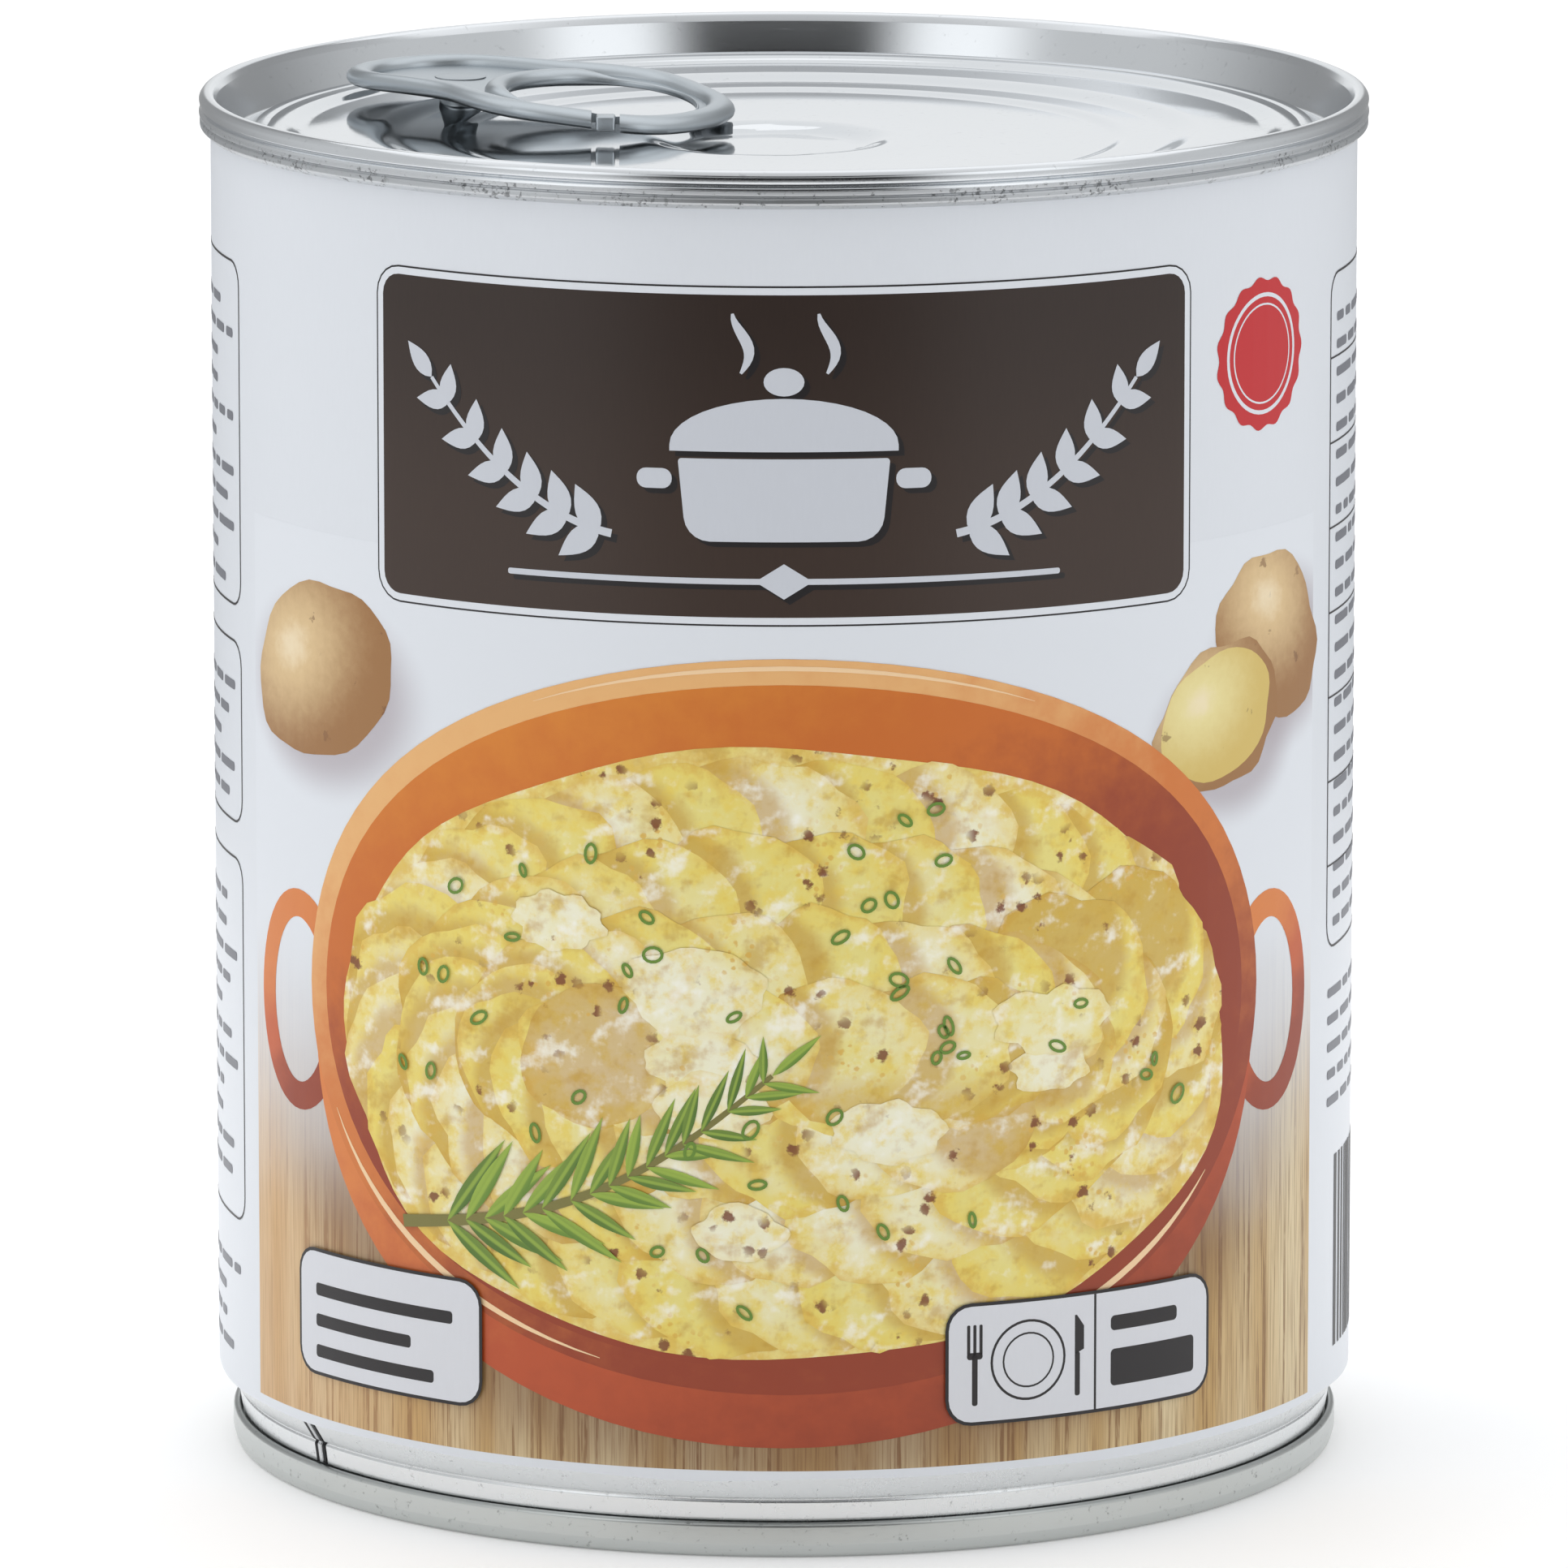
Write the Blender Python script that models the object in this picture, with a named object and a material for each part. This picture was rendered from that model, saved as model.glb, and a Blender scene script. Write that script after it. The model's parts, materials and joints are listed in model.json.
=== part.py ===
"""A shut ring-pull food can: steel body, paper label, pull-open lid, pull tab and bottom end.

Metres, +Z up. The origin is the middle of the circle that the can stands on, and the front of
the label faces -Y. The can is shut, so the body is solid between its two ends.
"""

import math

import bmesh
import bpy

MM = 0.001
GAP = 0.3 * MM
SEGMENTS = 80
MERGE = 0.001 * MM

CAN_HEIGHT = 118.7 * MM
BODY_RADIUS = 48.9 * MM
LABEL_RADIUS = 49.5 * MM
LABEL_THICKNESS = 0.3 * MM
LABEL_BOTTOM = 7.1 * MM

# The lower end of the body: a shoulder under the label and a neck above the bottom seam.
SHOULDER_TOP = 6.6 * MM
NECK_TOP_RADIUS = 47.9 * MM
NECK_TOP = 5.0 * MM
NECK_RADIUS = 47.35 * MM

# The lid's double seam, and the countersink inside it.
LID_SEAM_RADIUS = 50.5 * MM
LID_SEAM_HEIGHT = 3.25 * MM
LID_SEAM_THICKNESS = 1.5 * MM
COUNTERSINK_RADIUS = 46.95 * MM
COUNTERSINK_HALF_WIDTH = 0.9 * MM
COUNTERSINK_DEPTH = 3.95 * MM
PANEL_DEPTH = 3.05 * MM
LID_THICKNESS = 3.05 * MM

# The panel steps down twice towards its middle. Each row: radius, depth below the panel's edge.
PANEL_STEPS = (
    (43.6 * MM, 0.05 * MM),
    (41.0 * MM, 0.55 * MM),
    (36.0 * MM, 0.6 * MM),
    (32.3 * MM, 1.05 * MM),
    (29.5 * MM, 1.1 * MM),
    (28.0 * MM, 1.3 * MM),
    (14.0 * MM, 1.4 * MM),
)
PANEL_MIDDLE_DEPTH = 1.45 * MM

# A shallow hollow under the end of the ring, where a fingertip goes in.
WELL_DISTANCE = 1.5 * MM
WELL_RADIUS = 10.0 * MM
WELL_DEPTH = 0.9 * MM

# The tab lies along a radius of the lid. Distances along it are measured from the can's axis.
TAB_ANGLE = math.radians(147.5)
RING_CENTRE = 18.8 * MM
RING_RADIUS = 11.0 * MM
NOSE_CENTRE = 36.0 * MM
NOSE_RADIUS = 8.0 * MM
FINGER_HOLE_RADIUS = 8.2 * MM
TAB_TOP_OF_ARCH = 117.3 * MM
TAB_ARCH_AT = 35.2 * MM
TAB_ARCH_BEND = 3.1
CURL_WIDTH = 2.5 * MM
CURL_HALF_HEIGHT = 0.8 * MM
WEB_TOP = 0.1 * MM
WEB_BOTTOM = -0.35 * MM
TAB_DIRECTIONS = 64

# The ring isn't quite round. Each row: direction from the nose, spread, share it widens by.
RING_SWELLS = (
    (math.radians(38.0), math.radians(11.0), -0.03),
    (math.radians(73.0), math.radians(28.0), 0.15),
    (math.radians(138.0), math.radians(24.0), 0.06),
)

# The rivet is drawn up out of the lid's own metal and holds the tab.
RIVET_DISTANCE = 33.6 * MM
RIVET_SHANK_RADIUS = 2.1 * MM
RIVET_HEAD_RADIUS = 3.3 * MM
RIVET_HEAD_HEIGHT = 0.55 * MM

# The bottom end.
BOTTOM_SEAM_RADIUS = 48.3 * MM
BOTTOM_SEAM_HEIGHT = 3.1 * MM
BOTTOM_SEAM_INNER_RADIUS = 46.6 * MM
BOTTOM_COUNTERSINK_RADIUS = 44.75 * MM
BOTTOM_COUNTERSINK_HALF_WIDTH = 0.8 * MM
BOTTOM_COUNTERSINK_HEIGHT = 4.55 * MM
BOTTOM_PANEL_HEIGHT = 3.5 * MM
BOTTOM_END_TOP = 4.9 * MM
BOTTOM_END_TOP_RADIUS = 45.95 * MM
BOTTOM_BEAD_RADII = (36.0 * MM, 24.0 * MM)
BOTTOM_BEAD_HALF_WIDTH = 1.8 * MM
BOTTOM_BEAD_DEPTH = 0.5 * MM


def clear_scene():
    """Removes every object of the scene."""
    for old in list(bpy.data.objects):
        bpy.data.objects.remove(old, do_unlink=True)


def make_material(name, colour, roughness, metallic):
    """A Principled material of one colour."""
    material = bpy.data.materials.new(name)
    material.use_nodes = True
    shader = material.node_tree.nodes["Principled BSDF"]
    shader.inputs["Base Color"].default_value = (*colour, 1.0)
    shader.inputs["Roughness"].default_value = roughness
    shader.inputs["Metallic"].default_value = metallic
    return material


def finish(name, mesh_builder, material):
    """Turns a bmesh into a named object, shaded smooth except at its creases."""
    bmesh.ops.remove_doubles(mesh_builder, verts=mesh_builder.verts, dist=MERGE)
    bmesh.ops.recalc_face_normals(mesh_builder, faces=mesh_builder.faces)
    mesh = bpy.data.meshes.new(name)
    mesh_builder.to_mesh(mesh)
    mesh_builder.free()
    mesh.shade_smooth()
    mesh.set_sharp_from_angle(angle=math.radians(40.0))
    mesh.materials.append(material)
    made = bpy.data.objects.new(name, mesh)
    bpy.context.scene.collection.objects.link(made)
    return made


def turned(name, profile, material, segments=SEGMENTS):
    """A solid of revolution about the Z axis, from (radius, height) points."""
    builder = bmesh.new()
    points = [builder.verts.new((radius, 0.0, height)) for radius, height in profile]
    edges = [builder.edges.new(pair) for pair in zip(points, points[1:])]
    if profile[0][0] > 0.0:
        edges.append(builder.edges.new((points[-1], points[0])))
    bmesh.ops.spin(
        builder,
        geom=points + edges,
        axis=(0.0, 0.0, 1.0),
        cent=(0.0, 0.0, 0.0),
        angle=math.tau,
        steps=segments,
        use_merge=True,
    )
    return finish(name, builder, material)


def arc(radius, height, bend, start, end, steps):
    """Points on a quarter or half round of a profile, from start to end degrees."""
    angles = [math.radians(start + (end - start) * i / steps) for i in range(steps + 1)]
    return [(radius + bend * math.cos(a), height + bend * math.sin(a)) for a in angles]


def along_tab(distance, across=0.0):
    """The place on the lid at a distance along the tab's line, and across it."""
    x = distance * math.cos(TAB_ANGLE) + across * math.sin(TAB_ANGLE)
    y = distance * math.sin(TAB_ANGLE) - across * math.cos(TAB_ANGLE)
    return x, y


def panel_height(radius):
    """The height of the lid's upper face at a radius within its panel."""
    edge = CAN_HEIGHT - PANEL_DEPTH
    rows = [(COUNTERSINK_RADIUS - COUNTERSINK_HALF_WIDTH, 0.0), *PANEL_STEPS, (0.0, PANEL_MIDDLE_DEPTH)]
    for (outer, outer_depth), (inner, inner_depth) in zip(rows, rows[1:]):
        if inner <= radius <= outer:
            share = (outer - radius) / (outer - inner)
            return edge - outer_depth - share * (inner_depth - outer_depth)
    return edge


def tab_middle_height(distance):
    """The height of the middle of the tab's curl: the tab arches over its rivet."""
    return TAB_TOP_OF_ARCH - TAB_ARCH_BEND * (distance - TAB_ARCH_AT) ** 2


def cut_with(target, cutter, operation="DIFFERENCE"):
    """Adds a Boolean of a hidden helper to the target."""
    cutter.hide_render = True
    cutter.display_type = "WIRE"
    boolean = target.modifiers.new(cutter.name, "BOOLEAN")
    boolean.operation = operation
    boolean.solver = "EXACT"
    boolean.object = cutter


def make_body(material):
    """The steel body: a straight wall, with a shoulder and a neck at its lower end."""
    skirt_inner = BOTTOM_END_TOP_RADIUS + GAP
    floor = BOTTOM_END_TOP + GAP
    ceiling = CAN_HEIGHT - PANEL_DEPTH - LID_THICKNESS - GAP
    foot = BOTTOM_SEAM_HEIGHT + GAP
    profile = [
        (0.0, ceiling),
        (BODY_RADIUS, ceiling),
        (BODY_RADIUS, SHOULDER_TOP),
        (NECK_TOP_RADIUS, NECK_TOP),
        (NECK_RADIUS, foot),
        (skirt_inner, foot),
        (skirt_inner, floor),
        (0.0, floor),
    ]
    return turned("can_body", profile, material)


def make_label(material):
    """The paper label: a thin sleeve round the body."""
    inner = LABEL_RADIUS - LABEL_THICKNESS
    top = CAN_HEIGHT - LID_SEAM_HEIGHT - GAP
    profile = [
        (LABEL_RADIUS, top),
        (LABEL_RADIUS, LABEL_BOTTOM),
        (inner, LABEL_BOTTOM),
        (inner, top),
    ]
    return turned("paper_label", profile, material)


def make_rivet(material):
    """The helper that becomes the rivet: a boss, a shank through the tab and a flat round head."""
    x, y = along_tab(RIVET_DISTANCE)
    web_bottom = tab_middle_height(RIVET_DISTANCE) + WEB_BOTTOM
    web_top = tab_middle_height(RIVET_DISTANCE) + WEB_TOP
    boss_top = web_bottom - GAP
    root = panel_height(RIVET_DISTANCE) - MM
    head_bottom = web_top + GAP
    head_top = head_bottom + RIVET_HEAD_HEIGHT
    profile = [
        (0.0, head_top),
        (RIVET_HEAD_RADIUS * 0.8, head_top),
        (RIVET_HEAD_RADIUS, head_top - RIVET_HEAD_HEIGHT * 0.4),
        (RIVET_HEAD_RADIUS, head_bottom),
        (RIVET_SHANK_RADIUS, head_bottom),
        (RIVET_SHANK_RADIUS, boss_top),
        (RIVET_HEAD_RADIUS, boss_top),
        (RIVET_HEAD_RADIUS + 1.2 * MM, root),
        (0.0, root),
    ]
    rivet = turned("rivet_helper", profile, material, segments=24)
    rivet.location = (x, y, 0.0)
    return rivet


def make_lid(material):
    """The pull-open lid: double seam, countersink, stepped panel, finger well and rivet."""
    seam_bottom = CAN_HEIGHT - LID_SEAM_HEIGHT
    edge = CAN_HEIGHT - PANEL_DEPTH
    underside = edge - LID_THICKNESS
    seam_inner = LID_SEAM_RADIUS - LID_SEAM_THICKNESS
    sink_height = CAN_HEIGHT - COUNTERSINK_DEPTH + COUNTERSINK_HALF_WIDTH
    low_bend = 0.8 * MM
    high_bend = 0.6 * MM
    inner_bend = 0.5 * MM
    profile = [(0.0, underside), (BODY_RADIUS, underside), (BODY_RADIUS, seam_bottom)]
    profile += arc(LID_SEAM_RADIUS - low_bend, seam_bottom + low_bend, low_bend, -90.0, 0.0, 2)
    profile += arc(LID_SEAM_RADIUS - high_bend, CAN_HEIGHT - high_bend, high_bend, 0.0, 90.0, 2)
    profile += arc(seam_inner + inner_bend, CAN_HEIGHT - inner_bend, inner_bend, 90.0, 180.0, 2)
    profile += arc(COUNTERSINK_RADIUS, sink_height, COUNTERSINK_HALF_WIDTH, 0.0, -180.0, 4)
    profile += [(radius, edge - depth) for radius, depth in PANEL_STEPS]
    profile.append((0.0, edge - PANEL_MIDDLE_DEPTH))
    lid = turned("lid_end", profile, material)

    rim_height = panel_height(WELL_DISTANCE)
    ball = (WELL_RADIUS**2 + WELL_DEPTH**2) / (2.0 * WELL_DEPTH)
    sweep = math.degrees(math.asin(WELL_RADIUS / ball))
    hollow = arc(0.0, rim_height + ball - WELL_DEPTH, ball, -90.0, sweep - 90.0, 4)
    hollow[0] = (0.0, rim_height - WELL_DEPTH)
    hollow += [(WELL_RADIUS + MM, rim_height + MM), (0.0, rim_height + MM)]
    well = turned("finger_well_cutter", hollow, material, segments=32)
    well.location = (*along_tab(WELL_DISTANCE), 0.0)
    cut_with(lid, well)
    cut_with(lid, make_rivet(material), "UNION")
    return lid


def tab_reach(direction):
    """How far the tab's outline lies from the middle of its ring, in a direction; 0 is the nose."""
    turn = abs(direction)
    apart = NOSE_CENTRE - RING_CENTRE
    taper = math.asin((RING_RADIUS - NOSE_RADIUS) / apart)
    nose_limit = math.atan2(
        NOSE_RADIUS * math.cos(taper),
        apart + NOSE_RADIUS * math.sin(taper),
    )
    if turn >= math.pi / 2.0 - taper:
        reach = RING_RADIUS
    elif turn > nose_limit:
        reach = RING_RADIUS / math.sin(turn + taper)
    else:
        half_chord = math.sqrt(NOSE_RADIUS**2 - (apart * math.sin(turn)) ** 2)
        reach = apart * math.cos(turn) + half_chord
    swell = sum(
        share * math.exp(-(((turn - middle) / spread) ** 2))
        for middle, spread, share in RING_SWELLS
    )
    return reach * (1.0 + swell)


def tab_section(reach):
    """The tab's section along one direction: (distance from the ring's middle, height) points."""
    web_outer = reach - CURL_WIDTH
    web = [web_outer + (FINGER_HOLE_RADIUS - web_outer) * i / 3.0 for i in range(4)]
    over = [(0.0, 0.0), (0.15, 0.7), (0.5, 1.0), (0.8, 0.65)]
    under = [(0.5, -1.0), (0.15, -0.7)]
    section = [(reach - w * CURL_WIDTH, h * CURL_HALF_HEIGHT) for w, h in over]
    section += [(distance, WEB_TOP) for distance in web]
    section += [(distance, WEB_BOTTOM) for distance in reversed(web)]
    section += [(reach - w * CURL_WIDTH, h * CURL_HALF_HEIGHT) for w, h in under]
    return section


def make_tab(material):
    """The pull tab: a curled rim round a thin web, with a finger hole and a hole for the rivet."""
    builder = bmesh.new()
    rings = []
    for step in range(TAB_DIRECTIONS):
        direction = math.tau * step / TAB_DIRECTIONS - math.pi
        section = tab_section(tab_reach(direction))
        ring = []
        for distance, height in section:
            along = RING_CENTRE + distance * math.cos(direction)
            across = distance * math.sin(direction)
            x, y = along_tab(along, across)
            ring.append(builder.verts.new((x, y, tab_middle_height(along) + height)))
        rings.append(ring)
    for ring, following in zip(rings, rings[1:] + rings[:1]):
        for i in range(len(ring)):
            j = (i + 1) % len(ring)
            builder.faces.new((ring[i], ring[j], following[j], following[i]))
    tab = finish("pull_tab", builder, material)

    middle = tab_middle_height(RIVET_DISTANCE)
    bore_radius = RIVET_SHANK_RADIUS + GAP
    bore = [
        (0.0, middle + MM),
        (bore_radius, middle + MM),
        (bore_radius, middle - MM),
        (0.0, middle - MM),
    ]
    cutter = turned("rivet_hole_cutter", bore, material, segments=24)
    cutter.location = (*along_tab(RIVET_DISTANCE), 0.0)
    cut_with(tab, cutter)
    return tab


def make_bottom(material):
    """The bottom end: double seam, countersink and a panel with round beads."""
    low_bend = 0.6 * MM
    inner_bend = 0.5 * MM
    high_bend = 0.7 * MM
    seam = BOTTOM_SEAM_RADIUS
    sink = BOTTOM_COUNTERSINK_HALF_WIDTH
    profile = [
        (0.0, BOTTOM_END_TOP),
        (BOTTOM_END_TOP_RADIUS, BOTTOM_END_TOP),
        (BOTTOM_END_TOP_RADIUS, BOTTOM_SEAM_HEIGHT),
    ]
    profile += arc(seam - high_bend, BOTTOM_SEAM_HEIGHT - high_bend, high_bend, 90.0, 0.0, 2)
    profile += arc(seam - low_bend, low_bend, low_bend, 0.0, -90.0, 2)
    profile += arc(BOTTOM_SEAM_INNER_RADIUS + inner_bend, inner_bend, inner_bend, -90.0, -180.0, 2)
    profile += arc(BOTTOM_COUNTERSINK_RADIUS, BOTTOM_COUNTERSINK_HEIGHT - sink, sink, 0.0, 180.0, 4)
    for radius in BOTTOM_BEAD_RADII:
        profile += [
            (radius + BOTTOM_BEAD_HALF_WIDTH, BOTTOM_PANEL_HEIGHT),
            (radius, BOTTOM_PANEL_HEIGHT - BOTTOM_BEAD_DEPTH),
            (radius - BOTTOM_BEAD_HALF_WIDTH, BOTTOM_PANEL_HEIGHT),
        ]
    profile.append((0.0, BOTTOM_PANEL_HEIGHT))
    return turned("bottom_end", profile, material)


def main():
    """Builds the can."""
    clear_scene()
    tinplate = make_material("bare_tinplate", (0.58, 0.59, 0.60), 0.28, 1.0)
    lid_plate = make_material("lid_tinplate", (0.68, 0.69, 0.72), 0.16, 1.0)
    tab_plate = make_material("tab_tinplate", (0.60, 0.62, 0.64), 0.35, 1.0)
    end_plate = make_material("end_tinplate", (0.58, 0.59, 0.60), 0.3, 1.0)
    paper = make_material("label_paper", (0.78, 0.80, 0.83), 0.45, 0.0)
    make_body(tinplate)
    make_label(paper)
    make_lid(lid_plate)
    make_tab(tab_plate)
    make_bottom(end_plate)


main()
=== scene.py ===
"""Looks of a shut food can: tinned steel, a ring-pull lid and a printed paper sleeve.

Sizes are in millimetres in the classes and in metres in the meshes. The origin is the middle of the
can's foot, +Z is up and the front of the sleeve faces -Y. Print is drawn flat, X along the sleeve
and Z up it, and is then wrapped round the can in thin layers.
"""

import contextlib
import functools
import json
import logging
import math
import random
from dataclasses import dataclass, field
from enum import Enum
from typing import Callable, Iterator, Sequence

import bpy
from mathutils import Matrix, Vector

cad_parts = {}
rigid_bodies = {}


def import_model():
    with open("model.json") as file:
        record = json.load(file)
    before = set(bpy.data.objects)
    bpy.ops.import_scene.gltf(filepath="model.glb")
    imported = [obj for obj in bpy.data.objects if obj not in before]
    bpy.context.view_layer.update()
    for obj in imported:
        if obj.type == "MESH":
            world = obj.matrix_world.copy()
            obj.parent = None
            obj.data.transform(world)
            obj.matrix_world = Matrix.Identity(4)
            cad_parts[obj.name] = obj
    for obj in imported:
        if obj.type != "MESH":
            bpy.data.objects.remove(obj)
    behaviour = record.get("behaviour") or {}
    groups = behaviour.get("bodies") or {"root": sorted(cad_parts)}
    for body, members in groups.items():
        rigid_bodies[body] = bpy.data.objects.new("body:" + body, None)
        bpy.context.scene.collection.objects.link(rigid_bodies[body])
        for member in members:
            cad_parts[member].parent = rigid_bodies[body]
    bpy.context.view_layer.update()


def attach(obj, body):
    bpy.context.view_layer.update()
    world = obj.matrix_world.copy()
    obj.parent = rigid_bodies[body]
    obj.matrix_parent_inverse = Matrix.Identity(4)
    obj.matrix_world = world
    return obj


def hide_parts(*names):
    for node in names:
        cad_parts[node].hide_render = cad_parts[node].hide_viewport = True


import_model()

LOG = logging.getLogger("food_can")
MM = 0.001
MERGE = 1e-7
BODY = "root"

Point = tuple[float, float]
Corner = tuple[float, float, float]
Colour = tuple[float, float, float]
Triple = tuple[float, float, float]
Box = tuple[Point, Point]
Piece = bpy.types.Object
Socket = bpy.types.NodeSocket


def screen(red: int, green: int, blue: int) -> Colour:
    """Turns a colour as a screen shows it into the linear values of a shader.

    Args:
        red: Red from 0 to 255.
        green: Green from 0 to 255.
        blue: Blue from 0 to 255.

    Returns:
        The three linear values.
    """
    shares = (red / 255.0, green / 255.0, blue / 255.0)
    linear = [s / 12.92 if s <= 0.04045 else ((s + 0.055) / 1.055) ** 2.4 for s in shares]
    return (linear[0], linear[1], linear[2])


def smooth(value: float, low: float, high: float) -> float:
    """Rises smoothly from 0 at low to 1 at high.

    Args:
        value: The number that is looked up.
        low: Where the rise starts.
        high: Where it ends.

    Returns:
        A share from 0 to 1.
    """
    share = min(1.0, max(0.0, (value - low) / (high - low)))
    return share * share * (3.0 - 2.0 * share)


def between(first: float, second: float, share: float) -> float:
    """Gives the value that lies at a share of the way from first to second."""
    return first + (second - first) * share


def full_turn(count: int) -> list[float]:
    """Gives evenly spread bearings of a full turn, in radians."""
    return [k * math.tau / count for k in range(count)]


def widened(box: Box, rim: float) -> Box:
    """Gives a box that is larger by a rim on every side."""
    (left, low), (right, high) = box
    return ((left - rim, low - rim), (right + rim, high + rim))


def rounded(corners: Sequence[Corner], closed: bool = False, steps: int = 5) -> list[Point]:
    """Rounds the corners of an outline.

    Args:
        corners: Corners as (across, up, radius), the radius 0 for a sharp one.
        closed: Whether the last corner joins the first.
        steps: How many chords a rounded corner has.

    Returns:
        The points of the outline.
    """
    points: list[Point] = []
    count = len(corners)
    for index, (across, up, radius) in enumerate(corners):
        at_end = not closed and index in (0, count - 1)
        if radius <= 0.0 or at_end:
            points.append((across, up))
            continue
        here = Vector((across, up))
        back = Vector(corners[index - 1][:2]) - here
        ahead = Vector(corners[(index + 1) % count][:2]) - here
        half = back.angle(ahead) / 2.0
        reach = min(radius / math.tan(half), 0.49 * back.length, 0.49 * ahead.length)
        radius = reach * math.tan(half)
        centre = here + (back.normalized() + ahead.normalized()).normalized() * radius / math.sin(half)
        first = here + back.normalized() * reach - centre
        last = here + ahead.normalized() * reach - centre
        sweep = math.pi - 2.0 * half
        for step in range(steps + 1):
            share = step / steps
            arm = first * math.sin((1.0 - share) * sweep) + last * math.sin(share * sweep)
            place = centre + arm / math.sin(sweep)
            points.append((place.x, place.y))
    return points


class Bench:
    """The modelling moves that the pieces share."""

    @staticmethod
    def start(name: str, add: Callable[..., object], **size: object) -> Piece:
        """Adds a primitive at its size and place, and keeps its place in its mesh.

        Args:
            name: The piece's name.
            add: The operator that adds the primitive.
            size: What the operator is told.

        Returns:
            The new object, at the origin.
        """
        bpy.ops.object.select_all(action="DESELECT")
        add(**size)
        piece = bpy.context.object
        piece.name = piece.data.name = name
        bpy.ops.object.transform_apply(location=True, rotation=True, scale=True)
        return piece

    @staticmethod
    def only(piece: Piece) -> None:
        """Selects one object alone and makes it the active one.

        Args:
            piece: The object.
        """
        bpy.ops.object.select_all(action="DESELECT")
        piece.select_set(True)
        bpy.context.view_layer.objects.active = piece

    @staticmethod
    @contextlib.contextmanager
    def editing() -> Iterator[None]:
        """Opens the active piece's mesh with all of it selected, and closes it afterwards."""
        bpy.ops.object.mode_set(mode="EDIT")
        bpy.ops.mesh.select_all(action="SELECT")
        yield
        bpy.ops.object.mode_set(mode="OBJECT")

    @staticmethod
    def shade(piece: Piece, crease: float = 35.0) -> None:
        """Shades a piece smooth, but for edges that bend more than the crease angle in degrees."""
        Bench.only(piece)
        bpy.ops.object.shade_smooth_by_angle(angle=math.radians(crease))

    @staticmethod
    def close(piece: Piece, crease: float = 35.0) -> Piece:
        """Merges doubles, points the faces outwards and shades the piece.

        Args:
            piece: The object, in object mode.
            crease: The angle in degrees above which an edge stays sharp.

        Returns:
            The same object.
        """
        Bench.only(piece)
        with Bench.editing():
            bpy.ops.mesh.remove_doubles(threshold=MERGE)
            bpy.ops.mesh.normals_make_consistent(inside=False)
        Bench.shade(piece, crease)
        return piece

    @staticmethod
    def turned(name: str, profile: Sequence[Point], segments: int = 192) -> Piece:
        """Draws a round solid ring by ring, from the middle of its foot to the middle of its top.

        Args:
            name: The piece's name.
            profile: (radius, height) points in millimetres.
            segments: How many sides the circle has.

        Returns:
            The closed solid.
        """
        radius, height = profile[0]
        piece = Bench.start(
            name, bpy.ops.mesh.primitive_circle_add, vertices=segments, radius=radius * MM,
            fill_type="NGON", location=(0.0, 0.0, height * MM),
        )
        with Bench.editing():
            for (radius, height), (next_radius, next_height) in zip(profile, profile[1:]):
                rise = {"value": (0.0, 0.0, (next_height - height) * MM), "orient_type": "GLOBAL"}
                bpy.ops.mesh.extrude_region_move(TRANSFORM_OT_translate=rise)
                ratio = next_radius / radius
                bpy.ops.transform.resize(value=(ratio, ratio, 1.0), center_override=(0.0, 0.0, 0.0))
        return Bench.close(piece)

    @staticmethod
    def apply(piece: Piece, kind: str, **settings: object) -> None:
        """Adds a modifier to a piece and applies it.

        Args:
            piece: The object.
            kind: Blender's name of the modifier.
            settings: The modifier's values.
        """
        Bench.only(piece)
        modifier = piece.modifiers.new(kind.title(), kind)
        for key, value in settings.items():
            setattr(modifier, key, value)
        bpy.ops.object.modifier_apply(modifier=modifier.name)

    @staticmethod
    def mark_below(piece: Piece) -> None:
        """Marks the parts of a piece that look down, for a finish that is stained there.

        Args:
            piece: The finished object.
        """
        layer = piece.data.attributes.new("below", "FLOAT", "POINT")
        for item, vertex in zip(layer.data, piece.data.vertices):
            item.value = smooth(-vertex.normal.z, 0.1, 0.6)

    @staticmethod
    def wear(
        piece: Piece,
        material: bpy.types.Material,
        slot: str,
        stands_for: str | None = None,
    ) -> None:
        """Dresses a finished piece and fixes it to the can.

        Args:
            piece: The finished object.
            material: The material it gets.
            slot: The record's material slot.
            stands_for: The packed node that it replaces, if any.
        """
        piece.data.materials.clear()
        piece.data.materials.append(material)
        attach(piece, BODY)
        if stands_for:
            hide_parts(stands_for)
        LOG.info("%s: %d faces, slot %s", piece.name, len(piece.data.polygons), slot)


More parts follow.
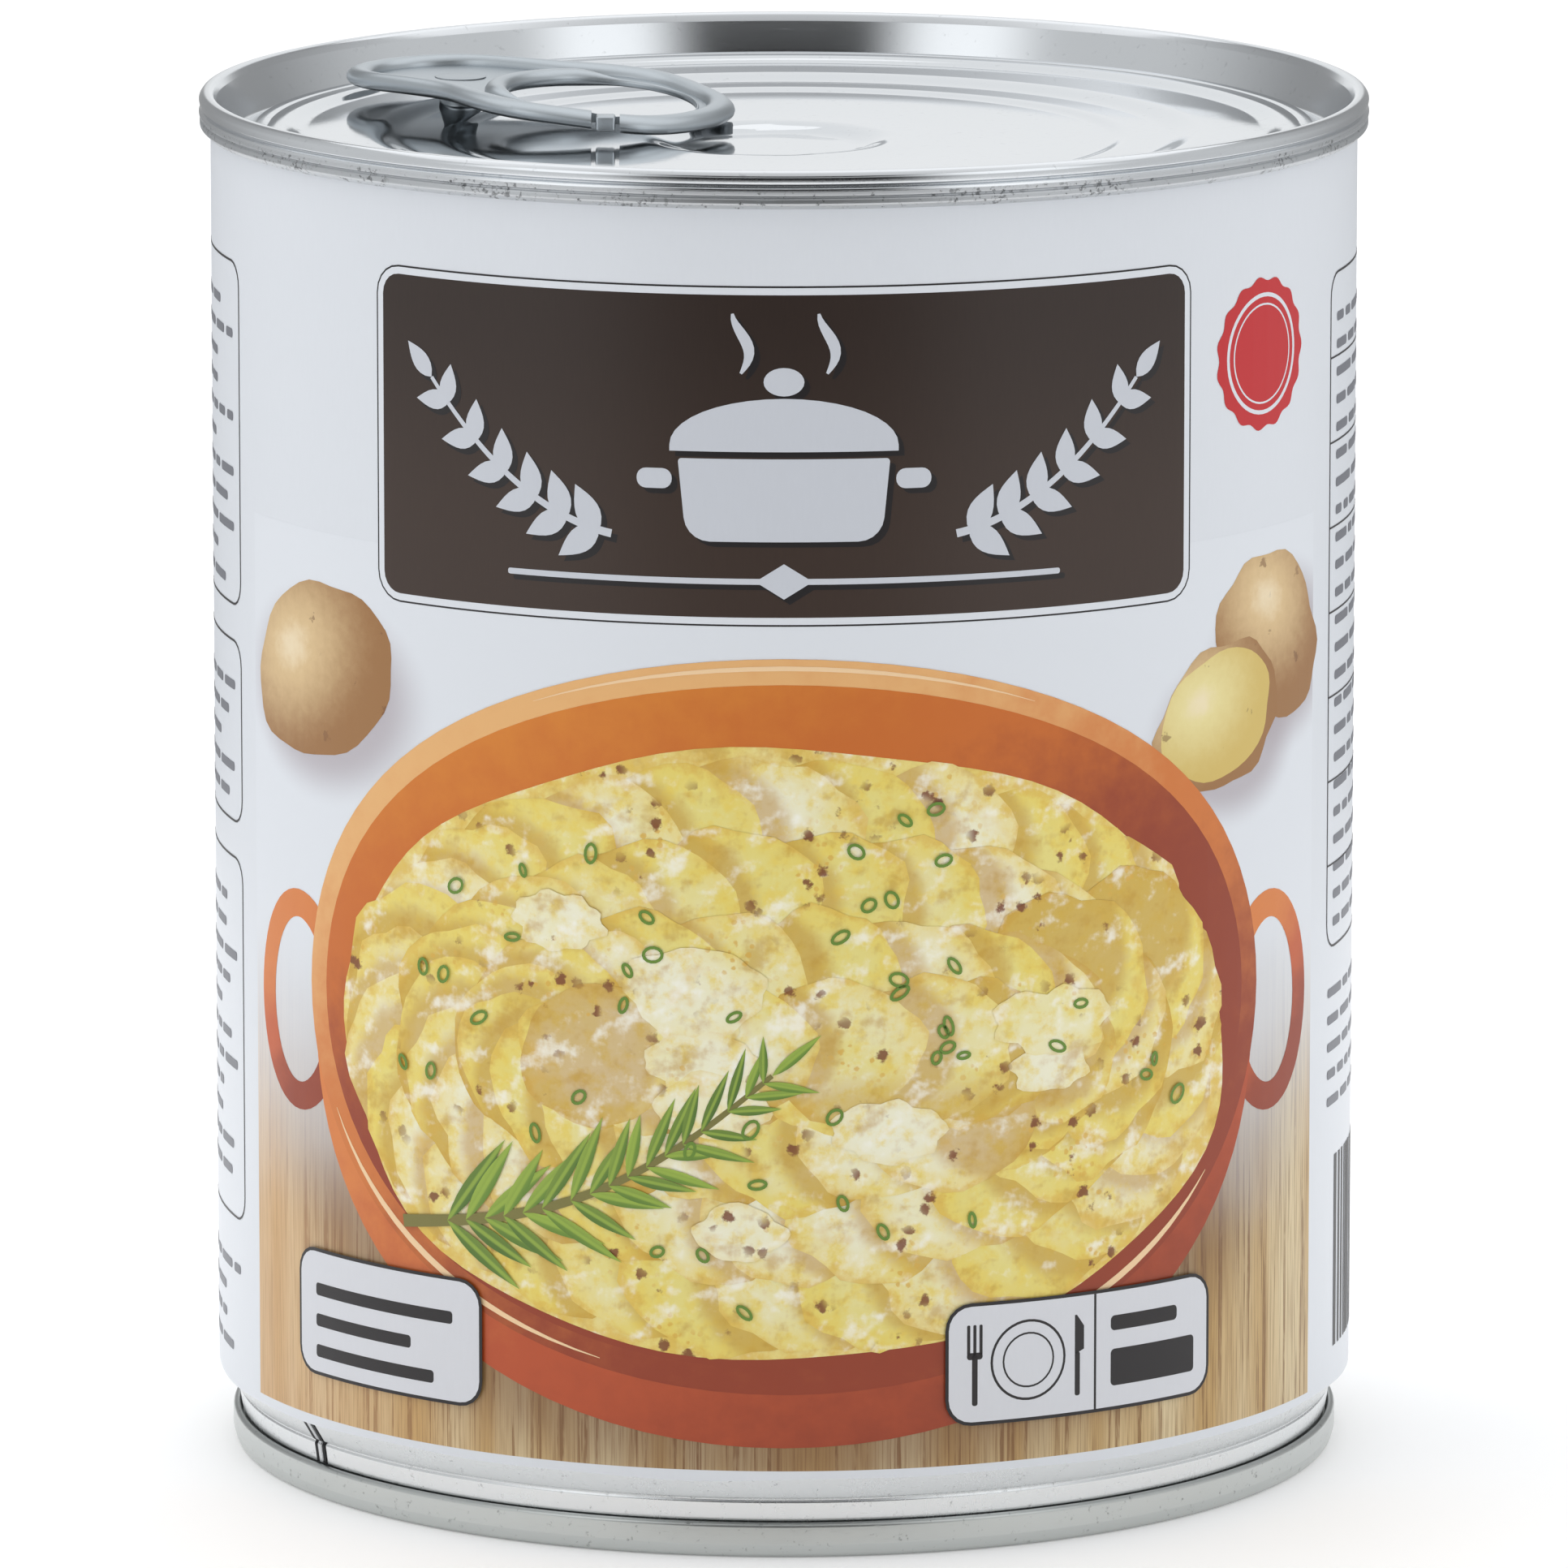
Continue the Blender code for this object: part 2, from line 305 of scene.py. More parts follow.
class NodeSketch:
    """Draws a node tree: each method adds one node and gives back its output."""

    def __init__(self, tree: bpy.types.NodeTree) -> None:
        """Keeps the tree that is drawn in."""
        self.tree = tree

    def add(self, kind: str, **settings: object) -> bpy.types.Node:
        """Adds a node of a kind and sets its properties.

        Args:
            kind: Blender's name of the node.
            settings: The node's properties.

        Returns:
            The node.
        """
        node = self.tree.nodes.new(kind)
        for key, value in settings.items():
            setattr(node, key, value)
        return node

    def plug(self, socket: Socket, value: object) -> None:
        """Links an output to a socket, or sets the socket's own value.

        Args:
            socket: The input.
            value: An output, a number, a vector or a colour.
        """
        if isinstance(value, bpy.types.NodeSocket):
            self.tree.links.new(value, socket)
        elif isinstance(value, tuple) and socket.type == "RGBA":
            socket.default_value = (*value[:3], 1.0)
        else:
            socket.default_value = value

    def named(self, node: bpy.types.Node, **values: object) -> bpy.types.Node:
        """Plugs values into a node's inputs by name, an underscore standing for a space.

        Args:
            node: The node.
            values: Its inputs.

        Returns:
            The same node.
        """
        for name, value in values.items():
            self.plug(node.inputs[name.replace("_", " ")], value)
        return node

    def math(self, operation: str, *values: object, clamp: bool = False) -> Socket:
        """Adds a Math node.

        Args:
            operation: What it works out.
            values: Its inputs in order.
            clamp: Whether the result stays between 0 and 1.

        Returns:
            The result.
        """
        node = self.add("ShaderNodeMath", operation=operation, use_clamp=clamp)
        for socket, value in zip(node.inputs, values):
            self.plug(socket, value)
        return node.outputs[0]

    def total(self, *values: object) -> Socket:
        """Adds up several values."""
        return functools.reduce(lambda first, second: self.math("ADD", first, second), values)

    def times(self, *values: object) -> Socket:
        """Multiplies several values."""
        return functools.reduce(lambda first, second: self.math("MULTIPLY", first, second), values)

    def vector(self, operation: str, *values: object) -> Socket:
        """Adds a Vector Math node.

        Args:
            operation: What it works out.
            values: Its inputs in order.

        Returns:
            A number for a length, and otherwise a vector.
        """
        node = self.add("ShaderNodeVectorMath", operation=operation)
        for socket, value in zip(node.inputs, values):
            self.plug(socket, value)
        return node.outputs["Value" if operation == "LENGTH" else "Vector"]

    def mix(self, share: object, first: object, second: object) -> Socket:
        """Mixes two colours.

        Args:
            share: How much there is of the second.
            first: The first colour.
            second: The second colour.

        Returns:
            The mixed colour.
        """
        node = self.add("ShaderNodeMix", data_type="RGBA", clamp_factor=True)
        colours = [socket for socket in node.inputs if socket.type == "RGBA"]
        self.plug(node.inputs["Factor"], share)
        self.plug(colours[0], first)
        self.plug(colours[1], second)
        return next(socket for socket in node.outputs if socket.type == "RGBA")

    def coats(self, base: object, *coats: tuple[object, Colour]) -> Socket:
        """Lays coats of colour over a base, each a mask and its colour, the lowest first."""
        return functools.reduce(lambda under, coat: self.mix(coat[0], under, coat[1]), coats, base)

    def rise(
        self, value: object, low: object, high: object, start: object = 0.0, end: object = 1.0
    ) -> Socket:
        """Maps a value smoothly.

        Args:
            value: The value.
            low: Where the change starts.
            high: Where it ends.
            start: The result at low.
            end: The result at high.

        Returns:
            The mapped value.
        """
        node = self.add("ShaderNodeMapRange", interpolation_type="SMOOTHSTEP")
        self.named(node, Value=value, From_Min=low, From_Max=high, To_Min=start, To_Max=end)
        return node.outputs["Result"]

    def place(
        self,
        vector: object,
        move: Sequence[float] = (0.0, 0.0, 0.0),
        scale: Sequence[float] = (1.0, 1.0, 1.0),
        turn: float = 0.0,
    ) -> Socket:
        """Multiplies a pattern's coordinates by a scale, turns them about Z and then moves them."""
        node = self.named(self.add("ShaderNodeMapping"), Vector=vector, Location=tuple(move))
        return self.named(node, Rotation=(0.0, 0.0, turn), Scale=tuple(scale)).outputs[0]

    def noise(self, vector: object, scale: object, detail: object = 2.0, rough: float = 0.5) -> Socket:
        """Gives a noise, 0.5 on average, with finer layers of a number and strength of their own."""
        node = self.add("ShaderNodeTexNoise")
        return self.named(node, Vector=vector, Scale=scale, Detail=detail, Roughness=rough).outputs[0]

    def cells(self, vector: object, scale: object) -> Socket:
        """Gives the distance to the nearest of scattered points."""
        node = self.named(self.add("ShaderNodeTexVoronoi"), Vector=vector, Scale=scale)
        return node.outputs["Distance"]

    def objects(self) -> Socket:
        """Gives the place on the can, in millimetres."""
        place = self.add("ShaderNodeTexCoord").outputs["Object"]
        return self.place(place, scale=(1.0 / MM,) * 3)

    def layer(self, name: str = "print") -> Socket:
        """Gives a UV map: the place on the flat print in millimetres, or in a shape's own units."""
        return self.add("ShaderNodeUVMap", uv_map=name).outputs[0]

    def mark(self, name: str) -> Socket:
        """Gives a number that each shape of the print carries."""
        return self.add("ShaderNodeAttribute", attribute_name=name).outputs["Fac"]

    def parts(self, vector: object) -> list[Socket]:
        """Splits a vector into its three numbers."""
        return list(self.named(self.add("ShaderNodeSeparateXYZ"), Vector=vector).outputs)

    def pair(self, across: object, up: object) -> Socket:
        """Makes a vector of two numbers."""
        return self.named(self.add("ShaderNodeCombineXYZ"), X=across, Y=up).outputs[0]

    def bump(self, height: object, strength: float, distance: float) -> Socket:
        """Turns a height into a normal."""
        node = self.add("ShaderNodeBump")
        return self.named(node, Height=height, Strength=strength, Distance=distance).outputs[0]

    def effect(self, group: bpy.types.NodeTree, **values: object) -> bpy.types.Node:
        """Places a shared effect with its own values."""
        return self.named(self.add("ShaderNodeGroup", node_tree=group), **values)


class Effects:
    """Effects that more than one material uses, each built once as a node group."""

    @staticmethod
    def group(
        name: str, takes: dict[str, float | None], gives: Sequence[str]
    ) -> tuple[NodeSketch, bpy.types.Node, bpy.types.Node]:
        """Makes an empty group.

        Args:
            name: The group's name.
            takes: Its inputs and their values, None for a vector.
            gives: Its outputs.

        Returns:
            A sketch of the group, its input node and its output node.
        """
        tree = bpy.data.node_groups.new(name, "ShaderNodeTree")
        for label, value in takes.items():
            kind = "NodeSocketVector" if value is None else "NodeSocketFloat"
            socket = tree.interface.new_socket(name=label, in_out="INPUT", socket_type=kind)
            if value is not None:
                socket.default_value = value
        for label in gives:
            tree.interface.new_socket(name=label, in_out="OUTPUT", socket_type="NodeSocketFloat")
        draw = NodeSketch(tree)
        return draw, draw.add("NodeGroupInput"), draw.add("NodeGroupOutput")

    @staticmethod
    @functools.cache
    def metal_skin() -> bpy.types.NodeTree:
        """Rolling grain, scuffs, scratches and dull spots of tinned steel.

        Returns:
            A group that gives out height, dullness and dirt.
        """
        takes = {"Place": None, "Grain Place": None, "Grain": 1.0, "Scuffs": 0.3}
        draw, start, end = Effects.group("metal skin", takes, ("Height", "Dullness", "Dirt"))
        place, scuffs = start.outputs["Place"], start.outputs["Scuffs"]
        fine = draw.noise(start.outputs["Grain Place"], 1.0, 3.0, 0.6)
        broad = draw.noise(place, 0.11, 2.0)
        grit = draw.noise(place, 2.6, 3.0, 0.65)
        pits = draw.times(draw.rise(draw.noise(place, 1.3, 4.0, 0.7), 0.60, 0.74), scuffs)
        slanted = draw.place(place, scale=(0.5, 0.5, 6.0), turn=0.6)
        scratches = draw.times(draw.rise(draw.noise(slanted, 1.0, 3.0, 0.6), 0.63, 0.70), scuffs)
        lines = draw.times(fine, start.outputs["Grain"])
        marks = draw.total(draw.times(pits, -1.6), draw.times(scratches, -0.8))
        height = draw.total(lines, draw.times(grit, 0.25), marks)
        dull = draw.total(draw.times(broad, 0.5), draw.times(lines, 0.5), pits, draw.times(scratches, 0.5))
        draw.named(end, Height=height, Dullness=dull, Dirt=pits)
        return draw.tree

    @staticmethod
    @functools.cache
    def paper_skin() -> bpy.types.NodeTree:
        """Fine upright fibre and faint unevenness of coated paper.

        Returns:
            A group that gives out height and tint.
        """
        draw, start, end = Effects.group("paper skin", {"Place": None}, ("Height", "Tint"))
        place = start.outputs["Place"]
        fibre = draw.noise(draw.place(place, scale=(3.0, 0.5, 1.0)), 1.0, 4.0, 0.6)
        waves = draw.noise(place, 0.06, 2.0)
        draw.named(end, Height=draw.total(fibre, draw.times(waves, 2.0)))
        draw.named(end, Tint=draw.total(draw.times(fibre, 0.6), draw.times(waves, 0.4)))
        return draw.tree

    @staticmethod
    @functools.cache
    def pictured_relief() -> bpy.types.NodeTree:
        """Light and shade of a lumpy thing in a printed picture, lit from above on the left.

        Returns:
            A group that gives out light, below 0 in the shade.
        """
        takes = {"Place": None, "Scale": 0.3, "Detail": 4.0, "Reach": 0.8}
        draw, start, end = Effects.group("pictured relief", takes, ("Light",))
        place, scale, detail = (start.outputs[name] for name in ("Place", "Scale", "Detail"))
        reach = start.outputs["Reach"]
        moved = draw.vector("ADD", place, draw.pair(draw.times(reach, -0.6), reach))
        here = draw.noise(place, scale, detail, 0.55)
        there = draw.noise(moved, scale, detail, 0.55)
        draw.named(end, Light=draw.math("SUBTRACT", here, there))
        return draw.tree

    @staticmethod
    @functools.cache
    def specks() -> bpy.types.NodeTree:
        """Small scattered spots of uneven size, thicker in some places than in others.

        Returns:
            A group that gives out the spots' mask.
        """
        takes = {"Place": None, "Scale": 0.5, "Size": 0.2, "Share": 0.5}
        draw, start, end = Effects.group("specks", takes, ("Mask",))
        place, size = start.outputs["Place"], start.outputs["Size"]
        bent = draw.noise(place, 1.6, 3.0, 0.6)
        spots = draw.cells(place, start.outputs["Scale"])
        uneven = draw.total(spots, draw.times(draw.math("SUBTRACT", bent, 0.5), 0.5))
        spot = draw.rise(uneven, draw.times(size, 0.6), size, 1.0, 0.0)
        floor = draw.math("SUBTRACT", 1.0, start.outputs["Share"])
        there = draw.rise(draw.noise(place, 0.13, 2.0), floor, draw.total(floor, 0.12))
        draw.named(end, Mask=draw.times(spot, there))
        return draw.tree


def new_material(name: str) -> tuple[bpy.types.Material, NodeSketch, bpy.types.Node]:
    """Starts a material.

    Args:
        name: The material's name.

    Returns:
        The material, a sketch of its node tree and its Principled BSDF.
    """
    material = bpy.data.materials.new(name)
    material.use_nodes = True
    shader = next(n for n in material.node_tree.nodes if n.type == "BSDF_PRINCIPLED")
    return material, NodeSketch(material.node_tree), shader


class Grain(Enum):
    """Which way the rolling lines of a steel sheet run: how strongly they change along X, Y and Z."""

    UP = (3.2, 3.2, 0.05)
    ROUND = (0.04, 0.04, 5.0)
    ACROSS = (0.12, 4.0, 4.0)


@dataclass(frozen=True)
class Tinplate:
    """Bare tinned steel. Its outer rim may be duller, and a band on that rim worn and scuffed."""

    name: str
    colour: Colour
    roughness: float
    spread: float
    grain: Grain
    lines: float
    scuffs: float
    depth: float = 0.02
    rim_radius: float = 0.0
    rim_roughness: float = 0.0
    worn_radius: float = 0.0
    worn_low: float = 0.0
    worn_high: float = 0.0
    worn_edge: float = 0.08
    worn_scuffs: float = 0.0
    worn_roughness: float = 0.0
    # How much darker the parts that look down are painted: painted shade under the tab
    painted_shade_below: float = 0.0

    def worn(self, draw: NodeSketch, place: Socket) -> Socket:
        """Gives the mask of the worn band: between two heights and outside a radius.

        Args:
            draw: The sketch of the material.
            place: The place on the can, in millimetres.

        Returns:
            The mask.
        """
        edge = self.worn_edge
        height = draw.parts(place)[2]
        above = draw.rise(height, self.worn_low - edge, self.worn_low + edge)
        below = draw.rise(height, self.worn_high - edge, self.worn_high + edge, 1.0, 0.0)
        return draw.times(above, below, self.outside(draw, place, self.worn_radius))

    def outside(self, draw: NodeSketch, place: Socket, radius: float) -> Socket:
        """Gives the mask of what lies farther than a radius from the can's axis."""
        away = draw.vector("LENGTH", draw.place(place, scale=(1.0, 1.0, 0.0)))
        return draw.rise(away, radius - 0.2, radius + 0.2)

    def material(self) -> bpy.types.Material:
        """Builds the material: bright metal whose gloss and tone follow its grain and its scuffs.

        Returns:
            The material.
        """
        material, draw, shader = new_material(self.name)
        place = draw.objects()
        lines = draw.place(place, scale=self.grain.value)
        scuffs: object = self.scuffs
        dull: object = self.roughness
        dark = tuple(0.22 * value for value in self.colour)
        base: object = self.colour
        if self.rim_radius > 0.0:
            outside = self.outside(draw, place, self.rim_radius)
            dull = draw.total(dull, draw.times(outside, self.rim_roughness))
        if self.worn_high > self.worn_low:
            worn = self.worn(draw, place)
            scuffs = draw.total(scuffs, draw.times(worn, self.worn_scuffs))
            dull = draw.total(dull, draw.times(worn, self.worn_roughness))
            spots = draw.rise(draw.noise(place, 2.2, 3.0, 0.65), 0.54, 0.62)
            patches = draw.rise(draw.noise(place, 0.13, 2.0), 0.46, 0.58)
            dirt = draw.total(0.30, draw.times(spots, patches, 0.55))
            base = draw.mix(draw.times(worn, dirt), base, dark)
        skin = draw.effect(
            Effects.metal_skin(), Place=place, Grain_Place=lines, Grain=self.lines, Scuffs=scuffs
        )
        rough = draw.times(skin.outputs["Dullness"], self.spread)
        tone = draw.mix(draw.times(skin.outputs["Dirt"], 0.8), base, dark)
        # Painted shade: the parts that look down are darkened
        if self.painted_shade_below > 0.0:
            tone = draw.mix(draw.times(draw.mark("below"), self.painted_shade_below), tone, dark)
        relief = draw.bump(skin.outputs["Height"], 0.35, self.depth * MM)
        draw.named(shader, Base_Color=tone, Metallic=1.0, Normal=relief)
        draw.named(shader, Roughness=draw.math("ADD", rough, dull, clamp=True))
        return material


@dataclass
class Lid:
    """The pull-open lid: double seam, countersink, stepped panel, finger well and rivet."""

    panel_top: float = 115.65
    sheet: float = 0.3
    segments: int = 256
    # Each step down of the panel as (outer radius, inner radius, depth)
    steps: tuple[Triple, ...] = (
        (43.4, 41.4, 0.50),
        (36.0, 32.9, 0.48),
        (29.6, 28.2, 0.24),
        (27.0, 12.0, 0.18),
    )
    seam_outside: tuple[Corner, ...] = (
        (49.15, 115.50, 0.10),
        (49.95, 115.46, 0.10),
        (50.42, 115.90, 0.30),
        (50.42, 116.33, 0.12),
        (50.22, 116.50, 0.06),
        (50.44, 116.66, 0.10),
        (50.50, 117.05, 0.20),
        (50.42, 117.24, 0.08),
        (50.02, 117.42, 0.05),
        (50.42, 117.62, 0.12),
        (50.50, 118.20, 0.50),
        (50.15, 118.70, 0.45),
        (49.35, 118.70, 0.50),
        (48.95, 118.00, 0.60),
        (48.05, 115.50, 0.40),
        (47.75, 114.62, 0.50),
        (46.20, 114.58, 0.50),
        (45.95, 115.00, 0.30),
        (45.65, 115.65, 0.30),
    )
    underside: tuple[Corner, ...] = (
        (43.50, 115.30, 0.0),
        (45.40, 115.25, 0.2),
        (45.70, 114.20, 0.4),
        (47.00, 114.05, 0.6),
        (47.95, 114.30, 0.4),
        (48.55, 116.20, 0.2),
        (48.75, 117.30, 0.1),
        (49.15, 117.30, 0.1),
    )
    score_radius: float = 44.5
    score_half_width: float = 0.12
    score_depth: float = 0.07
    panel_radius: float = 43.8
    panel_pitch: float = 0.45
    smooth_radius: float = 27.0
    well_distance: float = 1.5
    well_floor_radius: float = 7.8
    well_edge_radius: float = 10.4
    well_depth: float = 0.75
    boss_radius: float = 2.0
    shank_radius: float = 1.3
    head_radius: float = 2.3
    head_height: float = 0.12

    def panel_height(self, radius: float) -> float:
        """Gives the height of the stepped panel at a distance from the can's axis."""
        drop = sum(depth * (1.0 - smooth(radius, inner, outer)) for outer, inner, depth in self.steps)
        return self.panel_top - drop

    def profile(self) -> list[Point]:
        """Gives the lid's section, from the middle of its underside to the middle of its panel.

        Returns:
            (radius, height) points, closer together where the panel has steps.
        """
        inner = [float(radius) for radius in range(2, 44, 3)]
        points = [(radius, self.panel_height(radius) - self.sheet) for radius in inner]
        points += rounded(self.underside + self.seam_outside, steps=6)
        points += [
            (self.score_radius + self.score_half_width, self.panel_top),
            (self.score_radius, self.panel_top - self.score_depth),
            (self.score_radius - self.score_half_width, self.panel_top),
        ]
        radius = self.panel_radius
        while radius > 0.6:
            points.append((radius, self.panel_height(radius)))
            radius -= self.panel_pitch * (1.0 if radius > self.smooth_radius else 2.0)
        return points

    def press_well(self, piece: Piece, tab: "Tab") -> None:
        """Presses the finger well down into the panel.

        Args:
            piece: The lid.
            tab: The tab, whose line the well lies on.
        """
        middle = Vector(tab.place(self.well_distance, 0.0))
        group = piece.vertex_groups.new(name="well")
        for vertex in piece.data.vertices:
            away = (Vector(vertex.co[:2]) / MM - middle).length
            share = 1.0 - smooth(away, self.well_floor_radius, self.well_edge_radius)
            if share > 0.0:
                group.add([vertex.index], share, "REPLACE")
        Bench.apply(
            piece, "DISPLACE", direction="Z", mid_level=0.0, strength=-self.well_depth * MM,
            vertex_group="well",
        )
        piece.vertex_groups.clear()

    def rivet(self, tab: "Tab") -> Piece:
        """Turns the rivet: a boss under the tab, a shank and a low flat head.

        Args:
            tab: The tab that it holds.

        Returns:
            The rivet.
        """
        foot = self.panel_height(tab.rivet_distance) - 0.2
        web = tab.middle_height(tab.rivet_distance) - 0.12
        top = web + self.head_height
        corners = (
            (0.5, foot, 0.0),
            (self.boss_radius, foot, 0.3),
            (self.shank_radius + 0.1, web - 0.68, 0.3),
            (self.shank_radius, web + 0.02, 0.05),
            (self.head_radius, web + 0.02, 0.02),
            (self.head_radius - 0.1, web + 0.08, 0.05),
            (self.shank_radius + 0.1, top, 0.2),
            (0.5, top, 0.0),
        )
        piece = Bench.turned("lid_rivet", rounded(corners), segments=64)
        across, away = tab.place(tab.rivet_distance, 0.0)
        Bench.only(piece)
        bpy.ops.transform.translate(value=(across * MM, away * MM, 0.0))
        bpy.ops.object.transform_apply(location=True, rotation=True, scale=True)
        return piece

    def build(self) -> None:
        """Makes and dresses the lid and its rivet."""
        tab = Tab()
        lid = Bench.turned("lid_shell", self.profile(), self.segments)
        self.press_well(lid, tab)
        bright = Tinplate(
            "lid tinplate", screen(222, 225, 228), roughness=0.03, spread=0.07, grain=Grain.ACROSS,
            lines=0.4, scuffs=0.25, depth=0.006, rim_radius=47.3, rim_roughness=0.10,
            worn_radius=49.3, worn_low=115.2, worn_high=117.0, worn_scuffs=1.6, worn_roughness=0.22,
        )
        Bench.wear(lid, bright.material(), "lid_end", "lid_end")
        plain = Tinplate(
            "rivet tinplate", screen(180, 187, 192), roughness=0.32, spread=0.1, grain=Grain.ACROSS,
            lines=0.3, scuffs=0.2,
        )
        Bench.wear(self.rivet(tab), plain.material(), "lid_end")


@dataclass
class Tab:
    """The ring-pull tab: a curled rim round a finger hole, and a nose held by the rivet."""

    bearing: float = math.radians(147.5)
    ring_centre: float = 18.8
    ring_radius: float = 11.0
    nose_centre: float = 36.0
    nose_radius: float = 8.0
    hole_radius: float = 8.2
    # Each swell of the outline as (degrees from the nose, width in degrees, share of the reach)
    swells: tuple[Triple, ...] = ((38.0, 11.0, -0.03), (73.0, 28.0, 0.15), (138.0, 24.0, 0.06))
    curl: float = 1.25
    curl_height: float = 0.8
    gap_shift: float = 0.45
    gap_size: Triple = (2.45, 2.7, 2.4)
    lug_size: Triple = (1.7, 2.1, 1.3)
    lug_edge: float = 0.22
    rivet_distance: float = 33.6
    arch_top: float = 117.3
    arch_at: float = 35.2
    arch_bend: float = 0.0031
    around: int = 192
    section_points: int = 44

    def place(self, along: float, across: float) -> Point:
        """Turns a distance along the tab and one across it into X and Y."""
        cos, sin = math.cos(self.bearing), math.sin(self.bearing)
        return (along * cos + across * sin, along * sin - across * cos)

    def middle_height(self, along: float) -> float:
        """Gives the height of the tab's arched middle plane."""
        return self.arch_top - self.arch_bend * (along - self.arch_at) ** 2

    def reach(self, direction: float) -> float:
        """Gives how far the outline lies from the ring's middle.

        Args:
            direction: The direction in radians; 0 is the nose.

        Returns:
            The distance.
        """
        turn = abs(direction)
        apart = self.nose_centre - self.ring_centre
        taper = math.asin((self.ring_radius - self.nose_radius) / apart)
        limit = math.atan2(self.nose_radius * math.cos(taper), apart + self.nose_radius * math.sin(taper))
        if turn >= math.pi / 2.0 - taper:
            reach = self.ring_radius
        elif turn > limit:
            reach = self.ring_radius / math.sin(turn + taper)
        else:
            chord = math.sqrt(self.nose_radius**2 - (apart * math.sin(turn)) ** 2)
            reach = apart * math.cos(turn) + chord
        degrees = math.degrees(turn)
        swell = sum(share * math.exp(-(((degrees - at) / wide) ** 2)) for at, wide, share in self.swells)
        return reach * (1.0 + swell)

    def section(self, reach: float, nose: float) -> list[Point]:
        """Gives the tab's closed section along one direction.

        Args:
            reach: How far the outline lies from the ring's middle.
            nose: 1 towards the nose and 0 round the ring.

        Returns:
            (distance from the ring's middle, height over the middle plane) points.
        """
        web_top = between(0.05, -0.12, nose)
        web_low = between(-0.35, -0.50, nose)
        lip_width = between(0.15, 1.0, nose)
        lip_height = between(0.30, 0.77, nose)
        lip_middle = between(-0.15, 0.0, nose)
        rim = reach - self.curl
        lip = self.hole_radius + lip_width
        points: list[Point] = []
        first = math.pi - math.asin(web_top / self.curl_height)
        last = -math.pi - math.asin(web_low / self.curl_height)
        for step in range(16):
            angle = between(first, last, step / 15.0)
            points.append((rim + self.curl * math.cos(angle), self.curl_height * math.sin(angle)))
        low = math.asin(max(-1.0, (web_low - lip_middle) / lip_height))
        high = math.asin(min(1.0, (web_top - lip_middle) / lip_height))
        inner: list[Point] = []
        for step in range(16):
            angle = between(low, high - 2.0 * math.pi, step / 15.0)
            inner.append((lip + lip_width * math.cos(angle), lip_middle + lip_height * math.sin(angle)))
        points += self.straight(points[-1], inner[0])
        points += inner
        points += self.straight(inner[-1], points[0])
        return points

    @staticmethod
    def straight(start: Point, end: Point, pieces: int = 7) -> list[Point]:
        """Gives the points between two ends of a straight run, without the ends."""
        shares = [k / pieces for k in range(1, pieces)]
        return [(between(start[0], end[0], s), between(start[1], end[1], s)) for s in shares]

    def plate(self) -> Piece:
        """Shapes a torus into the curled tab.

        Returns:
            The tab.
        """
        torus_radius = 10.0
        piece = Bench.start(
            "tab_plate", bpy.ops.mesh.primitive_torus_add, major_segments=self.around,
            minor_segments=self.section_points, major_radius=torus_radius * MM, minor_radius=MM,
        )
        sections: dict[int, list[Point]] = {}
        for vertex in piece.data.vertices:
            x, y, z = (value / MM for value in vertex.co)
            ring = round(math.atan2(y, x) / math.tau * self.around) % self.around
            turn = math.atan2(z, math.hypot(x, y) - torus_radius)
            index = round(-turn / math.tau * self.section_points) % self.section_points
            direction = math.remainder(ring * math.tau / self.around, math.tau)
            if ring not in sections:
                nose = 1.0 - smooth(abs(direction), math.radians(40.0), math.radians(72.0))
                sections[ring] = self.section(self.reach(direction), nose)
            distance, height = sections[ring][index]
            along = self.ring_centre + distance * math.cos(direction)
            flat = self.place(along, distance * math.sin(direction))
            vertex.co = (flat[0] * MM, flat[1] * MM, (self.middle_height(along) + height) * MM)
        return Bench.close(piece, 50.0)

    @staticmethod
    def block(name: str, size: Sequence[float], place: Sequence[float], edge: float) -> Piece:
        """Makes a small block with rounded edges.

        Args:
            name: Its name.
            size: Width, depth and height.
            place: Its middle.
            edge: The radius of its edges.

        Returns:
            The block.
        """
        middle = [value * MM for value in place]
        piece = Bench.start(name, bpy.ops.mesh.primitive_cube_add, size=MM, scale=size, location=middle)
        if edge > 0.0:
            with Bench.editing():
                bpy.ops.mesh.bevel(offset=edge * MM, segments=3, affect="EDGES")
        return piece

    def split_curl(self, plate: Piece) -> Piece:
        """Cuts the gap where the curl's ends meet, and makes the square lug that fills it.

        Args:
            plate: The tab.

        Returns:
            The lug.
        """
        middle = self.place(self.ring_centre, 0.0)
        direction = math.radians(270.0) - self.bearing
        across = middle[0] + self.gap_shift
        front = middle[1] - self.reach(math.remainder(direction, math.tau)) + self.curl * 0.9
        along = across * math.cos(self.bearing) + front * math.sin(self.bearing)
        height = self.middle_height(along)
        cutter = self.block("gap_cutter", self.gap_size, (across, front - 0.1, height), 0.0)
        Bench.apply(plate, "BOOLEAN", operation="DIFFERENCE", object=cutter, solver="EXACT")
        bpy.data.objects.remove(cutter)
        return self.block("tab_lug", self.lug_size, (across, front - 0.1, height - 0.02), self.lug_edge)

    def build(self) -> None:
        """Makes and dresses the tab and its lug."""
        plate = self.plate()
        lug = self.split_curl(plate)
        # The tab's underside is painted darker: painted shade where it looks down
        satin = Tinplate(
            "tab steel", screen(184, 191, 196), roughness=0.32, spread=0.08, grain=Grain.ROUND,
            lines=0.2, scuffs=0.1, depth=0.01, painted_shade_below=0.55,
        )
        finish = satin.material()
        for piece, stands_for in ((plate, "pull_tab"), (lug, None)):
            Bench.close(piece, 50.0)
            Bench.mark_below(piece)
            Bench.wear(piece, finish, "pull_tab", stands_for)


